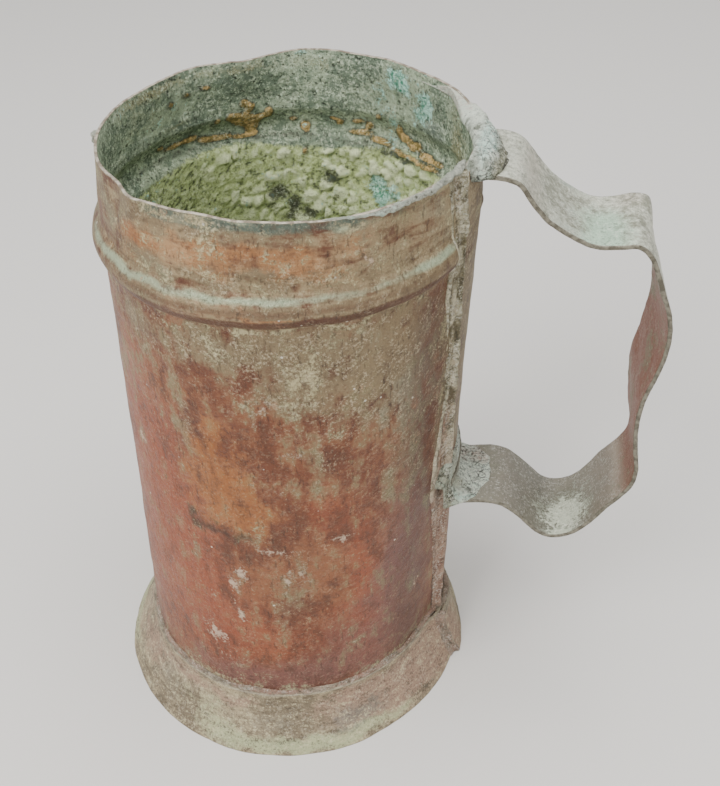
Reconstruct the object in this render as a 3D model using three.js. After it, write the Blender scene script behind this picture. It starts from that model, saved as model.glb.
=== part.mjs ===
// A copper liquid measure, made by hand from sheet and soft solder.
// One sheet is rolled and lapped into the body, with a swaged bead below the rim. It stands
// on a flared, lapped skirt, and a wavy strap handle is soldered over the body's seam.
// Sizes are in millimetres and +Z is up. The handle points along +X.
// The origin lies under the middle of the whole object, on the surface that it stands on.

import * as THREE from "three";
import { mergeVertices } from "three/addons/utils/BufferGeometryUtils.js";

// Body sheet
const height = 184; // from the surface it stands on to the rim
const bodyRadius = 46.0; // outside of the single sheet, at the foot
const bodyTaper = 1.2; // how much wider the wall is at the top
const bodySheet = 1.0; // thickness
const bodyStart = 11; // the sheet's lower edge, hidden in the foot
const rimLean = 10.4; // how far the rim stands off towards the handle
const clearance = 0.3; // room between pieces that touch

// Lap of the body sheet, measured along the wall from the middle of the handle
const lapEdgeAtRim = 18;
const lapEdgeAtFoot = 10;
const lapWidth = 13;
const lapBlend = 11; // over which the outer layer climbs on to the inner one
const lapReady = 1.4; // it is fully up this far before it meets the inner one
const coverReach = 8; // a piece over the seam starts to rise this far before the lap's edge
const coverEase = 6; // rises over this length
const coverBeyond = 3; // and stays up this far past the lap
const lapSwell = 0.2; // the joined edges swell out from the round
const lapSwellAtFoot = 2.6; // and more so lower down
const lapSwellHalf = 13; // half width of the swelling, along the wall

// Bead below the rim
const beadDrop = 22.5; // from the rim to the middle of the bead
const beadProud = 2.4;
const beadHalf = 5.2; // half of its height
const beadStop = 6.5; // it is hammered flat this far beside the lap
const beadFadeIn = 5; // and reaches its full size over this length

// Rim dents: each has its middle in degrees from the handle, its half width in degrees,
// and how far it goes out (or in, where it is negative)
const rimInset = 1.1; // the rim is a little narrower than the wall
const rimFade = 16; // how far down the dents reach
const rimDents = [
  { at: 117, half: 11, out: -2.6 },
  { at: 90, half: 10, out: 1.1 },
  { at: 52, half: 18, out: -0.8 },
  { at: 152, half: 12, out: -0.6 },
  { at: -104, half: 14, out: -1.5 },
  { at: -50, half: 18, out: 1.1 },
  { at: -138, half: 6, out: -0.9 },
  { at: -127, half: 5, out: 0.8 },
];
const earDip = 2.2; // the rim is lower under the upper handle solder
const earMiddle = -4; // degrees from the handle
const earHalf = 18; // degrees either side of its middle
const earRise = 6; // degrees over which the rim comes up again

// Foot
const footRadius = 56;
const footHeight = 19;
const footSheet = 1.0;
const footSleeve = 2.2; // short upright part that grips the body
const footFlare = 1.35; // above 1 the skirt is hollow, like a trumpet
const footLapEdge = 7.8; // along the wall, from the middle of the handle
const footLapWidth = 8;
const footLapBlend = 9;
const footCornerLift = 2.2; // the lap's loose lower corner stands off
const footCornerReach = 12;

// Floor
const floorHeight = 13; // its underside above the surface that the foot stands on
const floorSheet = 1.0;
const floorDish = 1.2; // how far the floor is pressed up in the middle
const floorSolderSize = 3;

// Handle strap: a rounded path, given by how far out of the body wall, and how far below the
// strap's upper end, the middle of the strap lies. It stretches with the room between its ends
const strapWidth = 24.4;
const strapSheet = 1.2;
const strapTopDrop = 6.0; // the upper end meets the collar level, this far below the rim
const strapFootDrop = 111.4; // the lower end meets the wall level, this far below the rim
const strapDrawnDrop = 105.4; // from the upper end to the lower one, in the path as drawn
const strapPath = [
  [7.5, 0],
  [11.2, 1.7],
  [14.7, 6.2],
  [19.2, 11.0],
  [25.7, 15.4],
  [31.2, 17.4],
  [36.2, 17.1],
  [40.6, 16.5],
  [43.8, 19.0],
  [46.0, 23.4],
  [48.4, 30.0],
  [50.8, 37.5],
  [51.8, 45.0],
  [50.9, 54.5],
  [49.6, 63.5],
  [49.9, 71.0],
  [51.0, 80.0],
  [52.9, 88.0],
  [52.6, 94.0],
  [50.0, 99.2],
  [46.6, 104.2],
  [43.6, 109.8],
  [39.6, 114.6],
  [34.9, 116.8],
  [30.5, 116.1],
  [26.6, 112.9],
  [22.2, 108.4],
  [18.2, 105.4],
  [13.6, 104.4],
  [8.6, 105.0],
];
const strapBendRadius = 2.2; // where the lower end turns up
const strapTabHeight = 9; // the turned-up end against the wall
const strapWrapReach = 7; // over which the ends curve to fit the round wall
const strapTwist = 1.4; // one edge stands further out than the other
const strapTwistDrop = 47; // below the upper end, in the middle of the upright run
const strapTwistHalf = 20;

// Solder
const seamSolderWidth = 2.6;
const seamSolderProud = 1.3;
const footSolderWidth = 1.3;
const footSolderHeight = 2.2;
const footLapSolderWidth = 1.6;
const footLapSolderProud = 0.9;
const footLapSolderStart = 1; // above the surface that the foot stands on
const rimSolderFrom = -66; // degrees from the handle
const rimSolderTo = -26;
const rimSolderProud = 1.3;
const rimSolderHeight = 1.9;
const earReach = 8; // how far the upper handle solder reaches out of the wall
const earThickness = 1.4; // at its outer end, above the strap
const earTopDrop = 0.2; // its top lies this far below the rim
const earShoulder = 0.3; // its sides lie this much lower again
const earStep = 0.2; // over which its underside goes from the rim's level to the strap's
const earFlank = 0.25; // how much of its reach is left at its sides
const puddleReach = 8.6; // how far the lower puddle reaches along the strap
const puddleHalfWidth = 10.4;
const puddleThickness = 1.1;
const puddleLook = 3; // it lies clear of the strap's highest point within this distance
const nubAngle = -172;
const nubSize = { out: 1.6, along: 2.2, high: 1.7 };
const nubWaist = 0.35; // how deep the groove between its two lobes is

// Fineness of the faceted solids
const roundSteps = 76;

// Sizes that follow from those above
const bodyStep = bodySheet + clearance; // the outer layer of the lap stands this much proud
const footStep = footSheet + clearance;
const beadHeight = height - beadDrop;
const sleeveStart = footHeight - footSleeve;
const sleeveRadius = plainRadius(footHeight) + clearance + footSheet; // outside of the skirt's sleeve

const copper = (color, roughness) => {
  return new THREE.MeshStandardMaterial({ color, roughness, metalness: 0.85 });
};
const agedCopper = copper("#7d5b45", 0.55);
const greyCopper = copper("#8b8a7a", 0.6);
const tinnedCopper = copper("#8f8d84", 0.5);
const solderGrey = copper("#9c9f8e", 0.7);

const smooth = (t) => {
  const s = Math.min(1, Math.max(0, t));
  return s * s * (3 - 2 * s);
};
const radians = (degrees) => (degrees * Math.PI) / 180;
const bump = (value, middle, half) => Math.exp(-(((value - middle) / half) ** 2));

// An angle brought to within half a turn of zero
const wrapped = (angle) => Math.atan2(Math.sin(angle), Math.cos(angle));

// A point on the leaning body: an angle from the handle, a distance from the axis, a height
const around = (angle, radius, z) => [
  radius * Math.cos(angle) + (rimLean * z) / height,
  radius * Math.sin(angle),
  z,
];

// The wall's outer radius at a height, where it is round and single
function plainRadius(z) {
  return bodyRadius + (bodyTaper * z) / height;
}

// The outer edge of the body's lap, as a distance along the wall from the handle's middle
const lapEdge = (z) => lapEdgeAtFoot + ((lapEdgeAtRim - lapEdgeAtFoot) * z) / height;

// How far along the wall an angle lies past the lap's outer edge
const pastLap = (angle, z) => wrapped(angle) * bodyRadius + lapEdge(z);

// The swelling of the wall along its seam
const swellAt = (angle, z) => {
  const amount = lapSwell + (lapSwellAtFoot - lapSwell) * (1 - z / height) ** 2;
  return amount * bump(pastLap(angle, z), lapWidth, lapSwellHalf);
};

// The seam's rise over the plain wall as pieces that lie over it see it, eased off on both sides
const lapCover = (angle, z) => {
  const past = pastLap(angle, z);
  const before = smooth((past + coverReach) / coverEase);
  const after = 1 - smooth((past - lapWidth - coverBeyond) / lapBlend);
  return bodyStep * before * after + swellAt(angle, z);
};

// How much the dents move the rim in or out, and how the ear lowers it
const dentAt = (angle) => {
  const degrees = (wrapped(angle) * 180) / Math.PI;
  return rimDents.reduce((sum, dent) => sum + dent.out * bump(degrees, dent.at, dent.half), -rimInset);
};
const earDipAt = (angle) => {
  const beside = Math.abs(wrapped(angle - radians(earMiddle))) - radians(earHalf);
  return earDip * (1 - smooth(beside / radians(earRise)));
};

// The wall's outer radius without the lap's rise
const wallRadius = (angle, z) => {
  const fromLap = Math.abs(pastLap(angle, z) - lapWidth / 2) - lapWidth / 2;
  const besideLap = smooth((fromLap - beadStop) / beadFadeIn);
  const rise = Math.abs(z - beadHeight) / beadHalf;
  const bead = rise < 1 ? beadProud * Math.cos((rise * Math.PI) / 2) ** 1.2 : 0;
  const dent = dentAt(angle) * smooth(1 - (height - z) / rimFade);
  return plainRadius(z) + bead * besideLap + swellAt(angle, z) + dent;
};

// What sits on the lap, in line with the handle, starts here
const seatRadius = (z) => wallRadius(0, z) + bodyStep + clearance;

// A block of unit size with its corners and faces moved to their places. The steps run
// along u and v, and w goes from the inner face, 0, to the outer one, 1.
function moved(stepsU, stepsV, place) {
  const block = new THREE.BoxGeometry(1, 1, 1, stepsU, stepsV, 1);
  const position = block.attributes.position;
  for (let i = 0; i < position.count; i += 1) {
    const u = position.getX(i) + 0.5;
    const v = position.getY(i) + 0.5;
    const w = position.getZ(i) + 0.5;
    position.setXYZ(i, ...place(u, v, w));
  }
  return welded(block);
}

// One closed surface: corners that coincide are shared
function welded(geometry) {
  geometry.deleteAttribute("uv");
  geometry.deleteAttribute("normal");
  const closed = mergeVertices(geometry, 1e-4);
  closed.computeVertexNormals();
  return closed;
}

// A sheet rolled clockwise, seen from above, from the inner end of its lap to the outer one
function rolled(levels, edge, width, surface) {
  return moved(roundSteps, levels.length - 1, (u, v, w) => {
    const z = levels[Math.round(v * (levels.length - 1))];
    const sweep = 2 * Math.PI + width / bodyRadius;
    const angle = (width - edge(z)) / bodyRadius - (1 - u) * sweep;
    const turned = (1 - u) * sweep;
    return surface(angle, z, w, turned);
  });
}

// How far, from 0 to 1, a rolled sheet has climbed on to its inner end
function climbed(turned, blend) {
  const toInnerEnd = (2 * Math.PI - turned) * bodyRadius;
  return 1 - smooth((toInnerEnd - lapReady) / blend);
}

function bodySheetGeometry() {
  const levels = [bodyStart, footHeight, 0.3 * height, 0.5 * height, 0.7 * height];
  const beadRows = 8;
  for (let row = 0; row <= beadRows; row += 1) {
    levels.push(beadHeight + beadHalf * ((2 * row) / beadRows - 1));
  }
  const collarStart = beadHeight + beadHalf;
  const collarRows = 4;
  for (let row = 1; row <= collarRows; row += 1) {
    levels.push(collarStart + ((height - collarStart) * row) / collarRows);
  }
  return rolled(levels, lapEdge, lapWidth, (angle, z, w, turned) => {
    const rise = bodyStep * climbed(turned, lapBlend);
    const radius = wallRadius(angle, z) + rise - bodySheet * (1 - w);
    const dip = earDipAt(angle) * smooth(1 - (height - z) / rimFade);
    return around(angle, radius, z - dip);
  });
}

// A bar of solder along the step at the lap's outer edge
function seamSolderGeometry() {
  const start = footHeight + clearance * 2 + footSolderHeight;
  const end = height - strapTopDrop - strapSheet;
  return moved(3, 44, (u, v, w) => {
    const z = start + (end - start) * v;
    const along = -lapEdge(z) - clearance - seamSolderWidth * (1 - u);
    const angle = along / bodyRadius;
    const lumps = 1 + 0.25 * Math.sin(z * 0.9) * Math.sin(z * 0.37);
    const crown = Math.sin(Math.PI * (0.15 + 0.7 * u)) * lumps;
    const thick = seamSolderProud * (0.35 + 0.65 * crown);
    return around(angle, wallRadius(angle, z) + clearance + thick * w, z);
  });
}

function floorDiscGeometry() {
  const radius = plainRadius(floorHeight) - bodySheet - clearance;
  const top = floorHeight + floorSheet;
  return leaned(turnedSolid([
    [0, floorHeight + floorDish],
    [radius * 0.6, floorHeight + floorDish * 0.7],
    [radius, floorHeight],
    [radius, top],
    [radius * 0.6, top + floorDish * 0.7],
    [0, top + floorDish],
  ]));
}

// A solid turned about the upright axis from its outline: distances from the axis, heights
function turnedSolid(outline) {
  const points = outline.map(([x, y]) => new THREE.Vector2(x, y));
  return new THREE.LatheGeometry(points, roundSteps);
}

// The same solid with its heights along +Z, leaned like the body
function leaned(lathe, outward = () => 0) {
  const position = lathe.attributes.position;
  for (let i = 0; i < position.count; i += 1) {
    const x = position.getX(i);
    const z = position.getY(i);
    const y = -position.getZ(i);
    const angle = Math.atan2(y, x);
    const radius = Math.hypot(x, y);
    position.setXYZ(i, ...around(angle, radius + outward(angle, z), z));
  }
  return welded(lathe);
}

function floorSolderGeometry() {
  const wall = plainRadius(floorHeight) - bodySheet - clearance;
  const start = floorHeight + floorSheet + clearance;
  return leaned(turnedSolid([
    [wall, start],
    [wall, start + floorSolderSize],
    [wall - floorSolderSize * 0.3, start + floorSolderSize * 0.5],
    [wall - floorSolderSize, start + floorSolderSize * 0.15],
    [wall - floorSolderSize, start],
    [wall, start],
  ]));
}

function footSolderGeometry() {
  const wall = plainRadius(footHeight) + clearance;
  const start = footHeight + clearance;
  const ring = turnedSolid([
    [wall, start],
    [wall + footSolderWidth, start],
    [wall + footSolderWidth * 0.75, start + footSolderHeight * 0.35],
    [wall, start + footSolderHeight],
    [wall, start],
  ]);
  return leaned(ring, lapCover);
}

// The skirt's outer radius, without its own lap: a sleeve above and a flare below
const skirtRadius = (angle, z) => {
  const down = Math.max(0, 1 - z / sleeveStart);
  const flare = (footRadius - sleeveRadius) * down ** footFlare;
  return sleeveRadius + flare + lapCover(angle, footHeight) * (1 - down);
};

function footSkirtGeometry() {
  const flareRows = 5;
  const levels = [];
  for (let row = 0; row <= flareRows; row += 1) {
    levels.push((sleeveStart * row) / flareRows);
  }
  levels.push(footHeight);
  return rolled(levels, () => footLapEdge, footLapWidth, (angle, z, w, turned) => {
    const rise = footStep * climbed(turned, footLapBlend);
    const toEnd = (2 * Math.PI + footLapWidth / bodyRadius - turned) * bodyRadius;
    const lift = footCornerLift * (1 - smooth(toEnd / footCornerReach)) * smooth(1 - z / sleeveStart);
    const radius = skirtRadius(angle, z) + rise + lift - footSheet * (1 - w);
    return around(angle, radius, z);
  });
}

// A thin bar of solder along the outer edge of the skirt's lap
function footLapSolderGeometry() {
  return moved(2, 8, (u, v, w) => {
    const z = footLapSolderStart + (sleeveStart - footLapSolderStart) * v;
    const along = -footLapEdge - clearance - footLapSolderWidth * (1 - u);
    const angle = along / bodyRadius;
    const thick = footLapSolderProud * (u === 0.5 ? 1 : 0.5);
    return around(angle, skirtRadius(angle, z) + clearance + thick * w, z);
  });
}

// The strap's middle line: out from the body's axis and up, without the lean
function strapLine() {
  const upperLevel = height - strapTopDrop;
  const lowerLevel = height - strapFootDrop;
  const stretch = (upperLevel - lowerLevel) / strapDrawnDrop;
  const points = strapPath.map(([out, drop]) => {
    return new THREE.Vector2(bodyRadius + out, upperLevel - drop * stretch);
  });
  const wall = seatRadius(lowerLevel) + strapSheet / 2;
  const upperEnd = new THREE.Vector2(seatRadius(upperLevel), upperLevel);
  const bend = [];
  const bendSteps = 4;
  for (let step = 0; step <= bendSteps; step += 1) {
    const turn = (Math.PI / 2) * (step / bendSteps);
    const x = wall + strapBendRadius * (1 - Math.sin(turn));
    const y = lowerLevel + strapBendRadius * (1 - Math.cos(turn));
    bend.push(new THREE.Vector2(x, y));
  }
  const tabEnd = new THREE.Vector2(wall, lowerLevel + strapTabHeight);
  const curve = new THREE.SplineCurve(points);
  return [upperEnd, ...curve.getPoints(points.length * 2 - 2), ...bend, tabEnd];
}

// The sideways direction of a line at each of its points, for giving it thickness
function sideways(line) {
  return line.map((point, i) => {
    const before = line[Math.max(0, i - 1)];
    const after = line[Math.min(line.length - 1, i + 1)];
    const along = after.clone().sub(before).normalize();
    return new THREE.Vector2(-along.y, along.x);
  });
}

function handleStrapGeometry() {
  const line = strapLine();
  const side = sideways(line);
  const offset = (half) => line.map((point, i) => point.clone().addScaledVector(side[i], half));
  const upper = offset(strapSheet / 2);
  const lower = offset(-strapSheet / 2).reverse();
  const outline = new THREE.Shape([...upper, ...lower]);
  const across = { depth: strapWidth, steps: 6, bevelEnabled: false };
  const strap = new THREE.ExtrudeGeometry(outline, across);
  const position = strap.attributes.position;
  for (let i = 0; i < position.count; i += 1) {
    const out = position.getX(i);
    const z = position.getY(i);
    const y = strapWidth / 2 - position.getZ(i);
    const wall = seatRadius(z);
    const nearWall = 1 - smooth((out - wall - strapSheet) / strapWrapReach);
    const hollow = (wall - Math.sqrt(wall ** 2 - y ** 2)) * nearWall;
    const drop = height - strapTopDrop - z;
    const twist = strapTwist * bump(drop, strapTwistDrop, strapTwistHalf) * (1 - nearWall);
    const turned = (-2 * twist * y) / strapWidth;
    position.setXYZ(i, out - hollow + turned + (rimLean * z) / height, y, z);
  }
  return welded(strap);
}

// The rough tongue of solder over the rim and the strap's upper end
function upperHandleSolderGeometry() {
  const half = radians(earHalf) - clearance / bodyRadius;
  const strapTop = height - strapTopDrop + strapSheet / 2 + clearance;
  const rimTop = height - earDip + clearance;
  const innerFace = plainRadius(height) - rimInset - bodySheet - clearance;
  const outerFace = seatRadius(height - strapTopDrop);
  const stations = [innerFace, outerFace, outerFace + earStep];
  const overStrap = earReach - bodyStep - clearance;
  const outerSteps = 4;
  for (let step = 1; step <= outerSteps; step += 1) {
    stations.push(outerFace + earStep + (overStrap * step) / outerSteps);
  }
  const last = stations.length - 1;
  return moved(10, last, (u, v, w) => {
    const station = Math.round(v * last);
    const angle = radians(earMiddle) + half * (1 - 2 * u);
    const round = Math.sqrt(1 - (0.94 * (1 - 2 * u)) ** 2);
    const beyond = Math.max(0, stations[station] - stations[2]);
    const radius = stations[Math.min(station, 2)] + beyond * (earFlank + (1 - earFlank) * round);
    const floor = station < 2 ? rimTop : strapTop;
    const slope = smooth(beyond / overStrap);
    const crest = height - earTopDrop - earShoulder * (1 - round);
    const edge = strapTop + earThickness;
    const top = crest + (edge - crest) * slope;
    return around(angle, radius, floor + (top - floor) * w);
  });
}

// The crusty puddle of solder on the strap's lower end
function lowerHandleSolderGeometry() {
  const base = height - strapFootDrop + strapSheet / 2 + clearance;
  const start = seatRadius(base) + strapSheet + clearance + strapBendRadius;
  return moved(8, 8, (u, v, w) => {
    const y = puddleHalfWidth * (1 - 2 * u);
    const roundEnd = Math.sqrt(1 - 0.9 * (2 * u - 1) ** 2);
    const hollow = start - Math.sqrt(start ** 2 - y ** 2);
    const reach = puddleReach * roundEnd;
    const out = start - hollow * (1 - v) + reach * v;
    const crown = 0.35 + 0.65 * Math.sin(Math.PI * (0.12 + 0.76 * v)) * roundEnd;
    const z = base + strapSlope(out) + puddleThickness * crown * w;
    return [out + (rimLean * z) / height, y, z];
  });
}

// How far the strap's middle rises above its level end, near a place on its lower run
function strapSlope(out) {
  const level = height - strapFootDrop;
  const near = strapLine().filter((point) => {
    const onLowerRun = point.y < level + strapBendRadius * 2;
    return onLowerRun && Math.abs(point.x - out) < puddleLook;
  });
  return Math.max(0, ...near.map((point) => point.y - level));
}

// The run of solder that thickens the outside of the rim
function rimSolderGeometry() {
  return moved(24, 4, (u, v, w) => {
    const angle = radians(rimSolderFrom + (rimSolderTo - rimSolderFrom) * u);
    const z = height - rimSolderHeight * (1 - v);
    const ends = Math.sin(Math.PI * (0.08 + 0.84 * u)) ** 0.5;
    const thick = rimSolderProud * ends * (0.4 + 0.6 * Math.sin(Math.PI * (0.15 + 0.7 * v)));
    return around(angle, wallRadius(angle, z) + clearance + thick * w, z);
  });
}

// A two-lobed lump on the outside of the rim
function rimNubGeometry() {
  const angle = radians(nubAngle);
  const ball = new THREE.SphereGeometry(1, 12, 8);
  const position = ball.attributes.position;
  const middle = wallRadius(angle, height) + clearance + nubSize.out;
  for (let i = 0; i < position.count; i += 1) {
    const y = position.getY(i);
    const waist = 1 - nubWaist * (1 - Math.abs(y)) ** 3;
    const out = middle + nubSize.out * position.getX(i) * waist;
    const along = nubSize.along * y;
    const z = height - nubSize.high * (1 - position.getZ(i) * waist);
    position.setXYZ(i, ...around(angle + along / middle, out, z));
  }
  return welded(ball);
}

const pieces = [
  ["body_sheet", bodySheetGeometry(), agedCopper],
  ["seam_solder", seamSolderGeometry(), solderGrey],
  ["floor_disc", floorDiscGeometry(), agedCopper],
  ["floor_solder", floorSolderGeometry(), solderGrey],
  ["foot_skirt", footSkirtGeometry(), greyCopper],
  ["foot_lap_solder", footLapSolderGeometry(), solderGrey],
  ["foot_solder", footSolderGeometry(), solderGrey],
  ["handle_strap", handleStrapGeometry(), tinnedCopper],
  ["upper_handle_solder", upperHandleSolderGeometry(), solderGrey],
  ["lower_handle_solder", lowerHandleSolderGeometry(), solderGrey],
  ["rim_solder", rimSolderGeometry(), solderGrey],
  ["rim_nub", rimNubGeometry(), solderGrey],
];

const measure = new THREE.Group();
for (const [name, geometry, material] of pieces) {
  const mesh = new THREE.Mesh(geometry, material);
  mesh.name = name;
  measure.add(mesh);
}

// The origin goes under the middle of the whole object
const reach = new THREE.Box3().setFromObject(measure);
const middle = reach.getCenter(new THREE.Vector3());
for (const mesh of measure.children) {
  mesh.position.set(-middle.x, -middle.y, -reach.min.z);
}

export default measure;
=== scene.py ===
# %% [markdown]
# # An old copper measure
#
# This lesson gives a copper liquid measure its looks. A tinsmith rolled one sheet into a tube,
# pressed a bead round it, set it on a flared foot and soldered a wavy strap to its side. Years
# of use have left brown and olive patina outside, and a crust inside.
#
# The solids of the measure come first, as a fixed frame that says where each piece is. We could
# paint those solids as they are, but their facets are coarse. So each one is replaced here by a
# finer piece of the same size in the same place, with the dents, lumps and crust that the eye
# expects. Lengths are in millimetres until a piece is finished, and metres after that.

# %% Load the frame
import math

import bmesh
import bpy
import numpy as np
from mathutils import Matrix, Vector, noise


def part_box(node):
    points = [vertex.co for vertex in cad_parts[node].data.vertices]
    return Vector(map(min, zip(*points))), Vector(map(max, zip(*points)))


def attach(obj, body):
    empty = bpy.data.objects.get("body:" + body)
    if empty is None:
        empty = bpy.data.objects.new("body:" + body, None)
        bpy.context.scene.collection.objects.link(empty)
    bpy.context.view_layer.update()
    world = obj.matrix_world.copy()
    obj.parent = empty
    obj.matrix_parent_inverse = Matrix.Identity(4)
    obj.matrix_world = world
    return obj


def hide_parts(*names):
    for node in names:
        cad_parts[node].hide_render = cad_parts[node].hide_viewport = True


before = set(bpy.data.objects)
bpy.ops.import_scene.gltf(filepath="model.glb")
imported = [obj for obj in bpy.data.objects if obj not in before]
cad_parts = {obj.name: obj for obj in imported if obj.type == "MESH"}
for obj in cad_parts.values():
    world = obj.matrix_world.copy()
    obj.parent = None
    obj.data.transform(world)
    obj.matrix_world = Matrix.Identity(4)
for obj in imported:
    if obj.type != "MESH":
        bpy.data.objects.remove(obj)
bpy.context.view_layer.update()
print("nodes in the frame:", ", ".join(sorted(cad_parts)))

# %% [markdown]
# ## The sizes of the real thing
#
# A part like this has few sizes of its own, and everything else follows from them. Naming them
# once keeps the pieces in line with each other: the strap finds the wall, and the solder finds
# the strap. The middle of the foot is read from the frame.

# %% Sizes of the sheet, the lap and the bead
MM = 0.001
height = 184.0
body_radius = 46.0
body_taper = 1.2
body_sheet = 1.0
body_start = 11.0
rim_lean = 10.4
clearance = 0.3
lap_edge_at_rim = 18.0
lap_edge_at_foot = 4.5
lap_width = 13.0
lap_blend = 11.0
lap_ready = 1.4
lap_swell = 0.2
lap_swell_at_foot = 2.6
lap_swell_half = 13.0
lap_swell_place = 3.0
lap_swell_shift = 8.0
lap_step_half = 0.8
cover_lead = 8.0
cover_climb = 6.0
cover_past_lap = 3.0
bead_height = height - 22.5
bead_proud = 2.4
bead_half = 5.2
bead_stop = 0.5
bead_fade_in = 3.5
bead_stop_inside = 6.5
bead_skew = 0.4
tool_mark_above = 2.6
tool_mark_half = 0.9
tool_mark_depth = 0.2
collar_start = 155.0
rim_sheet = 0.75
rim_inset = 1.1
rim_fade = 16.0
rim_thinned = 6.0
rim_margin = 0.3
rim_wave_high = 0.35
rim_wave_long = 11.0
file_mark = 0.2
ear_dip = 2.2
ear_middle = -4.0
ear_half = 18.0
ear_rise = 6.0
body_step = body_sheet + clearance
around_wall = 2 * math.pi * body_radius
print("the wall is", round(around_wall, 1), "mm round")

# %% Sizes of the foot, the floor and the strap
foot_radius = 56.0
foot_height = 19.0
foot_sheet = 1.0
foot_sleeve = 2.2
foot_flare = 1.35
foot_lap_edge = 7.8
foot_lap_width = 8.0
foot_lap_blend = 9.0
foot_corner_lift = 0.9
foot_corner_reach = 12.0
floor_height = 13.0
floor_sheet = 1.0
floor_dish = 1.2
strap_width = 24.4
strap_sheet = 1.2
strap_top_drop = 6.0
strap_foot_drop = 111.4
strap_bend_radius = 2.2
strap_tab_height = 9.0
strap_wrap_reach = 7.0
strap_twist = 1.4
strap_twist_drop = 47.0
strap_twist_half = 20.0
foot_step = foot_sheet + clearance
sleeve_start = foot_height - foot_sleeve

low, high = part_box("floor_disc")
floor_lean = rim_lean * (floor_height + floor_sheet / 2) / height
foot_middle = ((low.x + high.x) / 2 / MM - floor_lean, (low.y + high.y) / 2 / MM)
print("the foot's middle lies at x", round(foot_middle[0], 2), "mm")

# %% [markdown]
# ## A few soft curves
#
# A dent has no edges: it fades out into the sheet. Two small curves do nearly all of that here.
# One climbs smoothly from 0 to 1, and the other is a soft hump. They work on whole arrays of
# points at once, which is much faster than a loop over the points. Stains are humps in two
# directions, and the crust inside is a crowd of lumps, each about its own random middle.


# %% Soft curves and the leaning wall
def smooth(t):
    """Climbs from 0 to 1 with soft ends"""
    s = np.clip(t, 0, 1)
    return s * s * (3 - 2 * s)


def hump(value, middle, half):
    """A soft hump of height 1 about its middle"""
    return np.exp(-(((value - middle) / half) ** 2))


def wrapped(angle):
    """The same angle within half a turn of zero"""
    return np.arctan2(np.sin(angle), np.cos(angle))


def around(angle, radius, z):
    """Points on the leaning body: an angle from the handle, a distance from the axis, a height"""
    x = radius * np.cos(angle) + rim_lean * z / height
    return np.column_stack([x, radius * np.sin(angle), z])


def clouds(points, size, seed=0, octaves=3):
    """Soft uneven noise from about -1 to 1, with features of the given size in millimetres"""
    start = Vector((seed * 17.3, seed * 5.1, seed * 9.7))
    found = [noise.fractal(Vector(p) / size + start, 1.0, 2.0, octaves) for p in points]
    return np.array(found)


# %% Soft stains and crowded lumps
def stains(angle, z, places):
    """Soft stains on the wall: azimuth in degrees, height, half width, half height, strength"""
    total = np.zeros(np.shape(z))
    for at, level, half_wide, half_high, strength in places:
        beside = wrapped(angle - math.radians(at)) * body_radius
        total += strength * np.exp(-((beside / half_wide) ** 2) - ((z - level) / half_high) ** 2)
    return total


def crowded(across, up, size, seed):
    """Crowded lumps on a surface: 0 between two lumps and 1 on top, and a chance for each lump"""
    side = 64
    soft_edge = 0.4
    table = np.random.default_rng(seed).random((side, side, 3))
    column = np.floor(across / size).astype(int)
    row = np.floor(up / size).astype(int)
    nearest = np.full(len(across), np.inf)
    second = np.full(len(across), np.inf)
    chance = np.zeros(len(across))
    for i in (-1, 0, 1):
        for j in (-1, 0, 1):
            cell = table[(column + i) % side, (row + j) % side]
            beside = (column + i + cell[:, 0]) - across / size
            above = (row + j + cell[:, 1]) - up / size
            far = np.hypot(beside, above)
            closer = far < nearest
            second = np.where(closer, nearest, np.minimum(second, far))
            chance = np.where(closer, cell[:, 2], chance)
            nearest = np.minimum(nearest, far)
    return smooth((second - nearest) / soft_edge), chance


# %% [markdown]
# ## The shape of the wall
#
# The wall is a cone so steep that it looks like a tube. Three things change it: the swaged
# bead, the swelling along the seam where two layers of sheet lie on each other, and the dents
# that years of use have put into the rim. Each is one short formula, and the wall is their sum.
# What lies on the wall asks the same formulas where the wall is. A dent is given by degrees from
# the handle, a height where it has one, its half sizes, and how far it goes in or out.

# %% The wall and what changes it
soft_dents = [
    (-30, 128, 3.5, 26, -0.7),
    (-46, 176, 4.0, 9, -0.8),
    (-72, 60, 14, 16, -0.5),
    (-118, 96, 10, 16, -0.5),
    (-100, 30, 12, 8, 0.3),
    (60, 90, 16, 24, -0.6),
    (150, 70, 14, 20, -0.5),
]
rim_dents = [
    (117, 11, -2.6),
    (90, 10, 1.1),
    (52, 18, -0.8),
    (152, 12, -0.6),
    (-104, 14, -1.5),
    (-50, 18, 1.1),
    (-138, 6, -0.9),
    (-127, 5, 0.8),
]


def plain_radius(z):
    return body_radius + body_taper * z / height


def lap_edge(z):
    return lap_edge_at_foot + (lap_edge_at_rim - lap_edge_at_foot) * z / height


def past_lap(angle, z):
    """How far along the wall an angle lies past the lap's outer edge"""
    return wrapped(angle) * body_radius + lap_edge(z)


def swell_at(angle, z):
    amount = lap_swell + (lap_swell_at_foot - lap_swell) * (1 - z / height) ** 2
    place = lap_swell_place - lap_swell_shift * z / height
    return amount * hump(wrapped(angle) * body_radius, place, lap_swell_half)


def lap_cover(angle, z):
    """The seam's rise as a piece that lies over it sees it"""
    past = past_lap(angle, z)
    before = smooth((past + cover_lead) / cover_climb)
    after = 1 - smooth((past - lap_width - cover_past_lap) / lap_blend)
    return body_step * before * after + swell_at(angle, z)


def dent_at(angle):
    degrees = np.degrees(wrapped(angle))
    return sum(out * hump(degrees, at, half) for at, half, out in rim_dents) - rim_inset


def ear_dip_at(angle):
    beside = np.abs(wrapped(angle - math.radians(ear_middle))) - math.radians(ear_half)
    return ear_dip * (1 - smooth(beside / math.radians(ear_rise)))


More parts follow.
